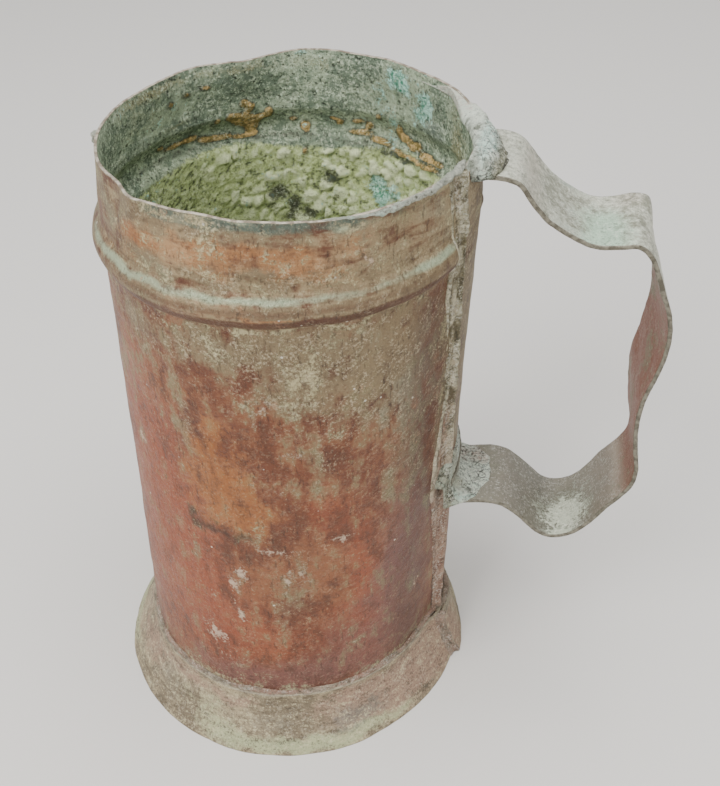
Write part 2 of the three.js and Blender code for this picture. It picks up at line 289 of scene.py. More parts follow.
def beside_lap(angle, z):
    """0 on the lap, where the bead is hammered flat, and 1 away from it"""
    past = past_lap(angle, z)
    before = smooth((-past - bead_stop) / bead_fade_in)
    after = smooth((past - lap_width - bead_stop_inside) / bead_fade_in)
    return np.maximum(before, after)


def bead_at(angle, z):
    """The bead is round above and a little undercut below"""
    up = np.clip((z - bead_height) / (bead_half + bead_skew), 0, 1)
    down = np.clip((bead_height - z) / (bead_half - bead_skew), 0, 1)
    above = np.cos(up * math.pi / 2) ** 1.3
    below = np.cos(down * math.pi / 2) ** 0.9
    tool_mark = tool_mark_depth * hump(z, bead_height + bead_half + tool_mark_above, tool_mark_half)
    return (bead_proud * above * below - tool_mark) * beside_lap(angle, z)


def near_rim(z):
    return smooth(1 - (height - z) / rim_fade)


def wall_radius(angle, z):
    wall = plain_radius(z) + bead_at(angle, z) + swell_at(angle, z)
    return wall + dent_at(angle) * near_rim(z)


def real_wall(angle, z):
    """The outer face with the lap's step and the soft dents in it"""
    past = past_lap(angle, z)
    step = body_step * smooth((past + lap_step_half) / (2 * lap_step_half)) * (past < lap_width)
    return wall_radius(angle, z) + step + stains(angle, z, soft_dents)


def seat_radius(z):
    """What sits on the lap, in line with the handle, starts here"""
    z = np.asarray(z, float)
    return wall_radius(0 * z, z) + body_step + clearance


def climbed(along, blend):
    """How far, from 0 to 1, a rolled sheet has climbed on to its own inner end"""
    return 1 - smooth((around_wall - along - lap_ready) / blend)


print("the bead stands out to", round(plain_radius(bead_height) + bead_proud, 2), "mm")

# %% [markdown]
# ## Cutting a flat sheet
#
# Real sheet work starts flat: the tinsmith cuts a blank, breaks its sharp edges with a file, and
# only then rolls it. We do the same. A grid is cut to size, extruded to the thickness of the
# sheet and bevelled. Its flat coordinates stay on the mesh as an attribute, so that a finish can
# still find its way along the sheet after it has been rolled. A floor or a ring of solder is
# round from the start, and a spun outline makes those.


# %% Flat sheets and turned rings
def flat_sheet(across, up, thickness, filed=0.0):
    """A flat sheet with its vertices at the given places across and up"""
    shape = bmesh.new()
    columns = len(across) - 1
    rows = len(up) - 1
    bmesh.ops.create_grid(shape, x_segments=columns, y_segments=rows, size=0.5)
    for vert in shape.verts:
        column = round((vert.co.x + 0.5) * columns)
        row = round((vert.co.y + 0.5) * rows)
        vert.co = (across[column], up[row], 0)
    extruded = bmesh.ops.extrude_face_region(shape, geom=shape.faces[:])
    lifted = [part for part in extruded["geom"] if isinstance(part, bmesh.types.BMVert)]
    bmesh.ops.translate(shape, verts=lifted, vec=(0, 0, thickness))
    bmesh.ops.recalc_face_normals(shape, faces=shape.faces)
    if filed:
        corners = [edge for edge in shape.edges if edge.calc_face_angle(0) > 1]
        bmesh.ops.bevel(
            shape,
            geom=corners,
            offset=filed,
            offset_type="OFFSET",
            segments=2,
            profile=0.5,
            affect="EDGES",
            material=-1,
        )
    return shape


def turned_ring(profile, steps):
    """A solid of revolution. The profile is a closed outline of distances and heights"""
    shape = bmesh.new()
    verts = [shape.verts.new((x, 0, z)) for x, z in profile]
    edges = [shape.edges.new((verts[i - 1], verts[i])) for i in range(len(verts))]
    bmesh.ops.spin(
        shape,
        geom=verts + edges,
        cent=(0, 0, 0),
        axis=(0, 0, 1),
        angle=2 * math.pi,
        steps=steps,
        use_merge=True,
    )
    bmesh.ops.remove_doubles(shape, verts=shape.verts, dist=0.001)
    return shape


def polar(points):
    """The angle and the distance from the axis of each point of a turned ring"""
    return np.arctan2(points[:, 1], points[:, 0]), np.hypot(points[:, 0], points[:, 1])


def spaced(*stretches):
    """Places along a line: each stretch is a start, an end and the room between its points"""
    places = []
    for start, end, room in stretches:
        count = max(1, round((end - start) / room))
        places += [start + (end - start) * i / count for i in range(count)]
    return [*places, stretches[-1][1]]


def coordinates(shape):
    return np.array([vert.co for vert in shape.verts], float)


# %% [markdown]
# ## From a shape to a piece
#
# A piece of the measure is more than a shape. It rides on the body of the measure, it stands for
# one of the solids, and it takes the finishes that it is given. Its stains are painted: each mark
# is a number on every vertex, or one number for all of them, and the finishes read it as an
# attribute.


# %% Finish a shape as a piece
def make_piece(name, shape, points, marks, finishes, node, face_of=None):
    """Moves a shape's vertices to their points and makes it a piece of the measure"""
    flat = coordinates(shape)
    centre = np.array([foot_middle[0], foot_middle[1], 0.0])
    for vert, place in zip(shape.verts, (points + centre) * MM):
        vert.co = place
    if face_of is not None:
        depth = flat[:, 2]
        for face in shape.faces:
            face.material_index = face_of([depth[vert.index] for vert in face.verts])
    bmesh.ops.recalc_face_normals(shape, faces=shape.faces)
    mesh = bpy.data.meshes.new(name)
    shape.to_mesh(mesh)
    shape.free()
    for finish in finishes:
        mesh.materials.append(finish)
    mesh.shade_smooth()
    attribute = mesh.attributes.new("flat", "FLOAT_VECTOR", "POINT")
    attribute.data.foreach_set("vector", (flat * MM).astype(np.float32).ravel())
    for mark, values in marks.items():
        painted = np.broadcast_to(np.clip(values, -1, 2), len(flat))
        attribute = mesh.attributes.new(mark, "FLOAT", "POINT")
        attribute.data.foreach_set("value", painted.astype(np.float32))
    piece = bpy.data.objects.new(name, mesh)
    bpy.context.scene.collection.objects.link(piece)
    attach(piece, "root")
    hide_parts(node)
    triangles = sum(len(polygon.vertices) - 2 for polygon in mesh.polygons)
    print(f"{name}: {triangles} triangles")


def sheet_faces(thickness):
    """Slot 0 for the outer face of a sheet, 1 for the inner face, 2 for its cut edge"""
    nearly = 1e-4

    def which(depths):
        if min(depths) > thickness - nearly:
            return 0
        if max(depths) < nearly:
            return 1
        return 2

    return which


# %% [markdown]
# ## A way to write finishes
#
# A material is a web of nodes, and a long web is hard to read. Written as sums and products it
# is short. The small class below lets + - and * work on sockets: each sign adds one Math node.
# Every other node comes from one method. Most of a finish is then a list of colours, each laid
# over the last where a painted mark says so, with an outline that noise makes uneven. Specks and
# grit come on top, because old metal is never smooth to the eye from close by.


# %% Sockets that can be added and multiplied
class Value:
    """A socket of a finish. A sign between two of them, or with a number, adds a Math node"""

    def __init__(self, finish, socket):
        self.finish = finish
        self.socket = socket

    def maths(self, operation, first, second):
        return self.finish.node("ShaderNodeMath", {"operation": operation}, {0: first, 1: second})

    def __add__(self, other):
        return self.maths("ADD", self, other)

    __radd__ = __add__

    def __sub__(self, other):
        return self.maths("SUBTRACT", self, other)

    def __rsub__(self, other):
        return self.maths("SUBTRACT", other, self)

    def __mul__(self, other):
        return self.maths("MULTIPLY", self, other)

    __rmul__ = __mul__


def colour(code):
    """A colour written as on the web, such as 7d5b45, in the linear numbers of a shader"""
    parts = [int(code[i : i + 2], 16) / 255 for i in (0, 2, 4)]
    linear = [c / 12.92 if c <= 0.04045 else ((c + 0.055) / 1.055) ** 2.4 for c in parts]
    return (*linear, 1.0)


# %% One finish
ragged_size = 2.5
grain_contrast = 2.2


class Finish:
    """One material, written node by node"""

    def __init__(self, name):
        self.material = bpy.data.materials.new(name)
        self.material.use_nodes = True
        self.tree = self.material.node_tree
        self.shader = self.tree.nodes["Principled BSDF"]

    def node(self, kind, settings, inputs, output=0):
        made = self.tree.nodes.new(kind)
        for setting, value in settings.items():
            setattr(made, setting, value)
        self.feed(made, inputs)
        return Value(self, made.outputs[output])

    def feed(self, node, inputs):
        """Gives sockets their values, or links them to what they are to read"""
        for key, value in inputs.items():
            if isinstance(value, Value):
                self.tree.links.new(value.socket, node.inputs[key])
            else:
                node.inputs[key].default_value = value

    def place(self, stretch=(1, 1, 1), flat=False, ragged=0.0):
        """Where a point is, in the object or along the flat sheet, longer along a stretched axis"""
        if flat:
            start = self.node("ShaderNodeAttribute", {"attribute_name": "flat"}, {}, "Vector")
        else:
            start = self.node("ShaderNodeTexCoord", {}, {}, "Object")
        if ragged:
            inputs = {"Vector": start, "Scale": 1 / (ragged_size * MM), "Detail": 4.0}
            shift = self.node("ShaderNodeTexNoise", {}, inputs, "Color")
            inputs = {0: shift, 1: (2 * ragged * MM,) * 3, 2: start}
            start = self.node("ShaderNodeVectorMath", {"operation": "MULTIPLY_ADD"}, inputs)
        scale = tuple(1 / part for part in stretch)
        return self.node("ShaderNodeVectorMath", {"operation": "MULTIPLY"}, {0: start, 1: scale})

    def grain(self, size, detail=4.0, rough=0.55, stretch=(1, 1, 1), flat=False, ragged=0.0):
        """Cloudy noise about zero, mostly within 0.3 of it, with features of this size in mm"""
        inputs = {"Vector": self.place(stretch, flat, ragged), "Scale": 1 / (size * MM)}
        inputs |= {"Detail": detail, "Roughness": rough}
        return (self.node("ShaderNodeTexNoise", {}, inputs) - 0.5) * grain_contrast

    def cells(self, size, feature="F1", stretch=(1, 1, 1), ragged=0.0):
        """The distance from the middle, or from the edge, of crowded cells of the given size"""
        inputs = {"Vector": self.place(stretch, ragged=ragged), "Scale": 1 / (size * MM)}
        return self.node("ShaderNodeTexVoronoi", {"feature": feature}, inputs)

    def painted(self, mark):
        return self.node("ShaderNodeAttribute", {"attribute_name": mark}, {}, "Fac")

    def between(self, value, start, end):
        """0 below the start, 1 above the end, and smooth between them"""
        settings = {"interpolation_type": "SMOOTHSTEP"}
        return self.node("ShaderNodeMapRange", settings, {0: value, 1: start, 2: end})

    def mix(self, first, second, share):
        first = colour(first) if isinstance(first, str) else first
        second = colour(second) if isinstance(second, str) else second
        settings = {"data_type": "RGBA", "blend_type": "MIX"}
        return self.node("ShaderNodeMix", settings, {0: share, 6: first, 7: second}, 2)

    def laid(self, base, uneven, *layers):
        """Lays colours over a base: each is a mark, a colour, how ragged it is and how strong"""
        for mark, code, ragged, strong in layers:
            amount = self.painted(mark)
            edge = uneven * ragged * self.between(amount, 0.0, 0.25)
            cover = self.between(amount + edge, 0.2, 0.8)
            base = self.mix(base, code, cover * strong)
        return base

    def speckled(self, base, noise_value, code, start, end, strong):
        """Lays a colour only where the noise is high"""
        return self.mix(base, code, self.between(noise_value, start, end) * strong)

    def gritty(self, base, size, pale, dark, strong):
        """Breaks a colour up with fine sharp grains, some paler and some darker"""
        where = self.between(self.grain(5 * size), -0.25, 0.15)
        grit = self.grain(size, 3, 0.8, ragged=0.5) * where
        base = self.speckled(base, grit, pale, 0.02, 0.26, strong)
        return self.speckled(base, 0 - grit, dark, 0.02, 0.26, strong)

    def done(self, base, roughness, metallic, relief):
        """Joins the finished colour, gloss and relief, in millimetres, to the shader"""
        bumped = self.node("ShaderNodeBump", {}, {"Height": relief, "Distance": MM})
        self.feed(self.shader, {"Base Color": base, "Roughness": roughness})
        self.feed(self.shader, {"Metallic": metallic, "Normal": bumped})
        return self.material


# %% [markdown]
# ## Finish: worn copper
#
# The outside of the body is copper that has gone brown. Where hands rub it, it is warm and
# orange. It is redder low down and on the left, partly red copper and partly a painted pink
# reflection. An olive film lies over it in clouds, and on that film sits a tan crust as fine as
# lichen. Below the bead everything is drawn out upright, as water runs. On the collar it is
# drawn out level, as a cloth rubs, and a painted sheen lightens it in level streaks. A painted
# highlight on the bead's upper shoulder, with mint dust, and painted shade on and under the bead
# follow, and scratches, specks and grit come last. Each layer could be a picture, but noise and
# painted marks hold up from close by and need no unwrapping.


# %% The outside of the body
def worn_copper():
    finish = Finish("worn_copper")
    cloud = finish.grain(18, 3)
    patch = finish.grain(7, 5, 0.55, (1, 1, 1.6), ragged=2.0)
    mottle = finish.grain(2.6, 5, 0.62)
    fine = finish.grain(0.8, 4, 0.7)
    upright = finish.grain(3.2, 4, 0.6, (1, 1, 3.5))
    level = finish.grain(2.4, 4, 0.6, (6, 1, 1), flat=True)
    hair = finish.grain(0.7, 3, 0.6, (1, 1, 6), ragged=0.6)
    collar = finish.painted("collar")
    drawn = upright + (level - upright) * collar
    uneven = patch * 1.2 + mottle * 0.7 + drawn * 0.9 + fine * 0.3

    base = finish.mix("70412c", "8b593b", finish.between(cloud + uneven * 0.5, -0.3, 0.3))
    base = finish.laid(
        base,
        uneven,
        # Red copper, and a painted pink reflection low down and on the left
        ("red_and_pink_reflection", "964e33", 0.25, 0.8),
        ("mauve", "78504a", 0.25, 0.75),
        ("olive", "817558", 0.6, 0.8),
        ("warm", "a56836", 0.4, 0.65),
        ("grey", "87826f", 0.55, 0.75),
        ("slate", "4f5f54", 0.6, 0.9),
        ("shade", "4f2e25", 0.2, 0.75),
    )
    film = patch * 0.8 + mottle * 0.5 + fine * 0.3 + drawn * 0.6
    base = finish.speckled(base, film, "89855f", 0.0, 0.5, 0.38)
    base = finish.speckled(base, 0 - film, "402a1c", 0.0, 0.5, 0.42)
    base = finish.laid(base, uneven, ("bruise", "36271f", 0.7, 0.75))
    crust = finish.between(finish.painted("tan") * 1.3 + uneven * 0.6 + fine * 0.8, 0.45, 0.8)
    base = finish.mix(base, "b9ae86", crust * 0.75)
    powder = finish.between(finish.painted("powder") * 1.5 + uneven * 0.5 + fine * 0.9, 0.45, 0.8)
    base = finish.mix(base, "c9b099", powder * 0.8)
    # A painted sheen on the collar, lighter along level streaks
    collar_sheen = finish.between(drawn * 0.9 + cloud + mottle * 0.5, -0.15, 0.4) * collar
    base = finish.mix(base, "d6c093", collar_sheen * 0.2)
    # Painted shade on and under the bead, and a painted highlight with mint dust on its upper
    # shoulder
    base = finish.laid(
        base,
        uneven,
        ("under_bead_shade", "55301f", 0.25, 0.9),
        ("bead_shade", "6b513c", 0.35, 0.8),
        ("mint", "a3ae90", 0.3, 0.9),
    )
    scratches = finish.cells(9, "DISTANCE_TO_EDGE", (1, 1, 1.4), ragged=5.0)
    scratched = 1 - finish.between(scratches + mottle * 0.03, 0.0, 0.022)
    base = finish.mix(base, "c09a77", scratched * finish.between(patch, 0.05, 0.3) * 0.5)
    specks = fine + mottle * 0.5
    base = finish.speckled(base, specks, "c9ba98", 0.18, 0.4, 0.2)
    base = finish.speckled(base, 0 - specks, "38271e", 0.2, 0.42, 0.4)
    base = finish.speckled(base, 0 - hair, "33241b", 0.2, 0.34, 0.5)
    base = finish.speckled(base, finish.cells(7.5) * -1, "e2dccd", -0.055, -0.03, 0.8)
    dusty = finish.painted("olive") + finish.painted("tan") - collar * 0.7
    dusty = finish.between(dusty + mottle * 0.5, 0.2, 0.8)
    base = finish.gritty(base, 0.8, "ded2b2", "2c2119", 0.09 + dusty * 0.27)

    dull = finish.between(crust + powder + finish.painted("olive") * 0.5, 0.0, 1.0)
    roughness = 0.46 + dull * 0.22 + mottle * 0.25
    relief = fine * 0.09 + mottle * 0.24 + drawn * 0.1 + hair * 0.06
    relief = relief + crust * 0.14 + powder * 0.14
    return finish.done(base, roughness, 0.42 - dull * 0.3, relief)


# %% [markdown]
# ## Finish: the crust inside
#
# Inside, liquid and damp have left a slate-grey film, with ochre deposits along the groove of
# the bead, yellow-green scales below it and turquoise bloom where copper salts came through.
# The scales and the deposits are real relief in the mesh. Their height is kept as a mark too,
# so that the paint can lay painted shade in the hollows between them and a painted highlight on
# their tops. A dark line round each deposit sets it off from the wall.


# %% The inside of the body
def crusted_inside():
    finish = Finish("crusted_inside")
    cloud = finish.grain(10, 4)
    mottle = finish.grain(2.2, 6, 0.78)
    fine = finish.grain(0.8, 4, 0.8)
    uneven = mottle * 1.5 + cloud * 0.9 + fine * 0.7
    base = finish.mix("788872", "b8c6a6", finish.between(cloud + mottle, -0.3, 0.3))
    base = finish.laid(
        base,
        uneven,
        ("slate_blue", "717c80", 0.4, 0.7),
        ("brown_film", "948555", 0.7, 0.75),
        ("pale", "ccd6b8", 0.6, 0.8),
    )
    base = finish.speckled(base, fine + mottle * 0.7, "e2f0d2", 0.13, 0.3, 0.9)
    dark = finish.grain(1.4, 4, 0.8) - fine * 0.4
    base = finish.speckled(base, dark, "2a2e22", 0.12, 0.28, 0.85)
    high = finish.painted("scale_height")
    # A painted highlight on the tops of the scales, and painted shade in the hollows between them
    lit_scale_tops = finish.mix("c6d48a", "f4fcc8", finish.between(high + mottle * 0.8, 0.1, 0.8))
    hollows = finish.mix("5f6642", lit_scale_tops, finish.between(high + mottle * 0.5, -0.04, 0.22))
    scaled = finish.between(finish.painted("scale") + uneven * 0.5, 0.3, 0.7)
    base = finish.mix(base, hollows, scaled * 0.85)
    base = finish.speckled(base, 0 - fine - mottle * 0.5, "31331f", 0.2, 0.4, 0.5)
    deposits = finish.painted("ochre")
    base = finish.speckled(base, deposits + uneven * 0.25, "3f3a28", 0.12, 0.3, 0.6)
    ochre = finish.between(deposits + uneven * 0.2, 0.32, 0.5)
    orange = finish.mix("86743c", "dcb877", finish.between(mottle * 1.3 + fine * 0.8, -0.2, 0.25))
    base = finish.mix(base, orange, ochre * 0.95)
    bloom = finish.between(finish.painted("turquoise") + uneven * 0.7, 0.3, 0.6)
    green = finish.mix("4a9f80", "d2ffee", finish.between(fine + mottle * 0.8, -0.2, 0.2))
    base = finish.mix(base, green, bloom * 0.92)
    # Dark holes, with the painted shadow along the groove, then the darker red-brown marks
    base = finish.laid(base, uneven, ("pits_and_groove_shadow", "3a3a2f", 0.9, 0.85), ("dark_red_brown", "4a2f28", 0.4, 0.9))
    base = finish.gritty(base, 0.85, "edf3d6", "24271c", 0.42)

    relief = mottle * 0.5 + fine * 0.3 + ochre * 0.2 + bloom * 0.15
    return finish.done(base, 0.68 + mottle * 0.25, 0.05, relief)


# %% [markdown]
# ## Finish: the cut edges, the foot and the strap
#
# The cut edge of the rim is rubbed bright, the edge of the foot is duller and the edge of the
# strap is dark. The foot is the same copper gone matt grey-green. The strap was tinned once: it
# is silver grey on its outer side, with a mint bloom in its hollows, and bare brown copper on the
# inner side of its upright run.


# %% Edges
def cut_edge(name, dark, pale):
    finish = Finish(name)
    worn = finish.between(finish.grain(1.6, 4, ragged=1.0), -0.3, 0.3)
    return finish.done(finish.mix(dark, pale, worn), 0.5, 0.35, finish.grain(0.8, 3) * 0.2)


# %% The foot
def grey_foot():
    finish = Finish("grey_foot")
    cloud = finish.grain(13, 4, ragged=2.0)
    mottle = finish.grain(2.6, 6, 0.78)
    fine = finish.grain(0.7, 4, 0.8)
    around_foot = finish.grain(1.8, 5, 0.7, (3, 1, 1), flat=True)
    uneven = mottle * 1.1 + cloud * 0.8 + fine * 0.5
    base = finish.mix("7c6e58", "aa9a7b", finish.between(cloud + mottle, -0.3, 0.3))
    base = finish.laid(
        base,
        uneven,
        ("warm", "a07f6c", 0.6, 0.75),
        ("mint", "b5bb90", 0.7, 0.75),
        ("slate", "706f66", 0.7, 0.7),
    )
    specks = fine + around_foot * 0.8
    base = finish.speckled(base, specks, "d2c7a0", 0.1, 0.34, 0.65)
    base = finish.speckled(base, 0 - specks, "4b4236", 0.1, 0.36, 0.7)
    base = finish.laid(base, uneven, ("bruise", "3f3229", 0.6, 0.85))
    base = finish.gritty(base, 0.8, "e4dbc0", "2f261d", 0.25)
    relief = mottle * 0.3 + fine * 0.12 + around_foot * 0.16
    return finish.done(base, 0.62 + mottle * 0.2, 0.2, relief)


# %% The strap
def tinned_strap():
    finish = Finish("tinned_strap")
    cloud = finish.grain(11, 4, flat=True, ragged=2.0)
    mottle = finish.grain(2.0, 6, 0.75)
    fine = finish.grain(0.6, 4, 0.75)
    brushed = finish.grain(0.9, 4, 0.7, (10, 1, 1), flat=True)
    uneven = mottle * 1.1 + cloud * 0.8 + fine * 0.4
    base = finish.mix("939380", "cdcdba", finish.between(cloud + mottle * 1.1, -0.35, 0.3))
    brown = finish.mix("7a4128", "6d5c3c", finish.between(cloud + mottle * 0.9, 0.0, 0.35))
    bare = finish.between(finish.painted("bare") + uneven * 0.3, 0.2, 0.8)
    base = finish.mix(base, brown, bare * 0.95)
    base = finish.laid(
        base,
        uneven,
        ("warm", "ab9486", 0.4, 0.6),
        ("mint", "aed0b4", 0.5, 0.7),
        ("slate", "7d857f", 0.5, 0.75),
        ("dull", "82796a", 0.5, 0.8),
    )
    crust = finish.between(finish.painted("crust") + uneven * 0.7 + fine * 0.5, 0.35, 0.75)
    base = finish.mix(base, "c3c8b2", crust * 0.85)
    specks = fine + mottle * 0.5 + brushed * 0.25
    base = finish.speckled(base, specks, "e4e1d4", 0.12, 0.36, 0.5 - bare * 0.4)
    base = finish.speckled(base, 0 - specks, "544f45", 0.12, 0.4, 0.5)
    base = finish.laid(base, uneven, ("bruise", "3b352e", 0.6, 0.8))
    base = finish.gritty(base, 0.8, "efece0", "36312a", 0.28 - bare * 0.15)
    roughness = 0.46 + crust * 0.25 + mottle * 0.2
    relief = mottle * 0.14 + fine * 0.06 + crust * 0.2 + brushed * 0.08
    return finish.done(base, roughness, 0.35 - crust * 0.25, relief)


# %% [markdown]
# ## Finish: old solder
#
# Soft solder goes pale grey-green and crumbly with age, with dirt in its hollows. One function
# makes each kind, from its own dark and pale colour and with its grain drawn out along the run.
# The hollows are found from the height of the lumps, which each piece keeps as a mark. Where it
# was laid thick it has cracked: the edges of crowded cells, made ragged, give those cracks.


# %% Solder
def old_solder(name, dark, pale, stretch=(1, 1, 1), metallic=0.15, roughness=0.62):
    finish = Finish(name)
    mottle = finish.grain(1.5, 6, 0.78, stretch)
    fine = finish.grain(0.55, 4, 0.8)
    cloud = finish.grain(5, 4, 0.6, stretch, ragged=1.5)
    uneven = mottle * 1.3 + cloud * 0.8 + fine * 0.5
    high = finish.painted("lump") * 1.5 + cloud * 0.6 + mottle * 0.8
    base = finish.mix(dark, pale, finish.between(high, -0.35, 0.4))
    base = finish.laid(
        base,
        uneven,
        ("olive", "8a8159", 0.6, 0.75),
        ("warm", "85604a", 0.6, 0.75),
        ("mint", "c6e6d8", 0.6, 0.75),
        ("pinkish", "b0826f", 0.5, 0.75),
    )
    specks = fine + mottle * 0.7
    base = finish.speckled(base, specks, "ece9d8", 0.14, 0.36, 0.6)
    base = finish.speckled(base, 0 - specks, "3b3629", 0.16, 0.4, 0.75)
    base = finish.laid(base, uneven, ("bruise", "373126", 0.6, 0.8))
    thick = finish.painted("crackled")
    cracks = finish.cells(2.8, "DISTANCE_TO_EDGE", ragged=3.0) + mottle * 0.12
    cracked = (1 - finish.between(cracks, 0.0, 0.1)) * thick
    base = finish.speckled(base, mottle + cloud, "38352a", -0.35, 0.15, cracked * 0.9)
    base = finish.gritty(base, 0.8, "f4f2e4", "2a281f", 0.3 + thick * 0.4)
    relief = mottle * 0.5 + fine * 0.3 - cracked * 0.25
    return finish.done(base, roughness + mottle * 0.25, metallic, relief)


# %% All the finishes
copper_outside = worn_copper()
crust_inside = crusted_inside()
rim_edge = cut_edge("rim_edge", "857866", "bdb3a1")
dark_edge = cut_edge("dark_edge", "5c574a", "858070")
foot_edge = cut_edge("foot_edge", "7d7262", "a39a82")
foot_finish = grey_foot()
strap_finish = tinned_strap()
pale_solder = old_solder("pale_solder", "868c7b", "e6eddb")
seam_finish = old_solder("seam_solder_finish", "6a5f45", "e8dfc0", (1, 1, 5))
hem_finish = old_solder("hem_solder", "66675a", "b7b9a9", metallic=0.5, roughness=0.42)
foot_solder_finish = old_solder("foot_solder_finish", "857866", "bdb09a")
print("materials, with those of the solids:", len(bpy.data.materials))

# %% [markdown]
# ## The body
#
# The body is one sheet, rolled clockwise as seen from above, with its outer end lapped over the
# inner one beside the handle.
#
# The marks of its outer face come first. Each is a place on the wall: degrees from the handle, a
# height, half a width, half a height and a strength.

# %% Marks on the outside
outside_marks = {
    # Red copper, and a painted pink reflection low down and on the left
    "red_and_pink_reflection": [
        (-137, 95, 18, 60, 0.85),
        (-112, 62, 10, 30, 0.4),
        (-90, 42, 20, 20, 0.4),
        (-55, 60, 7, 40, 0.5),
        (-68, 98, 5, 12, 0.4),
        (-150, 172, 10, 8, 0.5),
    ],
    "mauve": [
        (-45, 60, 8, 40, 0.5),
        (-62, 40, 12, 16, 0.5),
        (-32, 80, 9, 50, 0.6),
        (-100, 26, 26, 8, 0.5),
        (-78, 25, 40, 9, 0.5),
    ],
    "warm": [
        (-107, 118, 7, 12, 0.75),
        (-108, 102, 9, 8, 0.7),
        (-101, 93, 8, 8, 0.65),
        (-95, 108, 6, 12, 0.5),
        (-88, 92, 5, 10, 0.4),
        (-66, 97, 4, 8, 0.35),
        (-128, 175, 7, 4, 1.0),
        (-110, 175.5, 14, 3.0, 0.7),
        (-84, 176, 14, 3.5, 0.6),
        (-96, 171, 26, 2.4, 0.4),
        (-60, 178, 6, 3.5, 0.5),
        (-72, 171, 9, 4, 0.5),
        (-140, 168, 8, 3, 0.4),
        # This thin line on the bead's crest is a painted highlight
        (-84, 161, 9, 0.7, 0.9),
    ],
    "olive": [
        (-97, 150, 16, 7, 0.6),
        (-72, 142, 13, 15, 0.65),
        (-46, 140, 12, 24, 0.65),
        (-115, 122, 2.6, 8, 0.55),
        (-128, 150, 10, 7, 0.35),
        (-70, 112, 6, 7, 0.45),
        (-40, 100, 9, 18, 0.4),
        (-110, 180.5, 12, 1.6, 0.7),
        (-95, 169.5, 30, 1.3, 0.5),
        (-79, 62, 6, 18, 0.42),
        (-16, 140, 9, 60, 0.6),
    ],
    "grey": [
        (-34, 130, 10, 26, 0.5),
        (-27, 85, 8, 20, 0.45),
        (-46, 126, 4.5, 7, 0.4),
        (-30, 176, 12, 8, 0.5),
        (-28, 47, 4, 9, 0.45),
        (-145, 178, 10, 6, 0.4),
        (-58, 150, 8, 6, 0.3),
    ],
    "slate": [
        (-112, 182.4, 10, 2.0, 1.0),
        (-92, 183.0, 14, 1.6, 0.9),
        (-66, 182.3, 12, 2.0, 0.95),
        (-117, 168.8, 7, 3.5, 0.35),
        (-58, 178, 2.2, 2.2, 0.5),
    ],
    "tan": [
        (-100, 149, 4.5, 5, 0.42),
        (-88, 151, 3, 5, 0.35),
        (-75, 145, 7.5, 9, 0.5),
        (-78, 132, 4, 6, 0.4),
        (-64, 124, 4, 8, 0.3),
        (-107, 139.4, 7, 1.0, 0.35),
        (-93, 132, 3, 6, 0.25),
        (-80, 155.8, 62, 0.9, 0.5),
        (-62, 146, 6, 10, 0.25),
        (-104, 24, 26, 6, 0.2),
        (-92, 90, 5, 6, 0.22),
        (-24, 120, 3, 50, 0.25),
        (-70, 112, 4, 4, 0.3),
    ],
    "powder": [
        (-86.5, 133, 2.6, 6, 0.4),
        (-79, 118, 2.4, 2.8, 0.42),
        (-80, 104, 2, 5, 0.34),
        (-96, 72, 2.4, 2.0, 0.62),
        (-103, 66, 1.9, 2.8, 0.62),
        (-99.5, 60, 1.6, 3.4, 0.5),
        (-98, 52.5, 1.6, 2.6, 0.6),
        (-108.5, 41, 1.8, 2.0, 0.7),
        (-113, 47, 1.6, 6, 0.36),
        (-110, 61, 1.4, 4, 0.36),
        (-83.5, 58, 1.6, 1.8, 0.6),
        (-83, 72, 2.4, 7, 0.4),
        (-76, 73, 2.2, 6, 0.38),
        (-84, 81.6, 5.5, 1.8, 0.62),
        (-66, 83.3, 4.6, 1.6, 0.6),
        (-106, 34, 6, 8, 0.3),
        (-138, 107, 1.6, 3, 0.5),
        (-57, 174, 0.9, 2.6, 0.75),
        (-30, 45, 1.2, 3, 0.5),
        (-129, 147, 1, 1, 0.6),
    ],
    "bruise": [
        (-111, 90, 3.6, 2.4, 0.68),
        (-105, 86.5, 3.4, 1.6, 0.8),
        (-118, 92.5, 3.0, 1.4, 0.5),
        (-98, 83.6, 4.5, 1.8, 0.62),
        (-104, 87, 4, 2.0, 0.6),
        (-63, 171.5, 1.7, 1.7, 0.65),
        (-57, 176.5, 1.3, 1.3, 0.5),
        (-72.5, 170.6, 0.8, 0.8, 0.9),
        # This long thin line is a painted shadow under the bead's lower edge
        (-83, 157.2, 60, 0.5, 0.4),
        (-70, 153, 9, 0.8, 0.25),
        (-50, 110, 1.4, 12, 0.2),
    ],
    "mint": [
        # The first four lie along the bead's upper shoulder: mint dust and a painted highlight
        (-90, 164.9, 44, 1.1, 0.72),
        (-140, 164.4, 16, 1.5, 0.55),
        (-33, 165.2, 7, 1.4, 0.7),
        (-86, 167.8, 26, 0.5, 0.3),
        (-90, 183.4, 3, 0.7, 0.6),
        (-66, 181.5, 2, 1.0, 0.5),
        (-83, 177, 1.0, 1.0, 0.5),
        (-68, 106, 1, 1, 0.4),
    ],
    # Painted shade on the bead, below its highlight
    "bead_shade": [
        (-90, 162.3, 60, 1.2, 0.8),
    ],
    # Painted shade under the bead
    "under_bead_shade": [
        (-85, 158.6, 60, 1.5, 0.95),
        (-40, 159.0, 20, 1.8, 0.9),
        (-120, 158.8, 30, 1.6, 0.5),
    ],
}

print("marks outside:", sum(len(places) for places in outside_marks.values()))
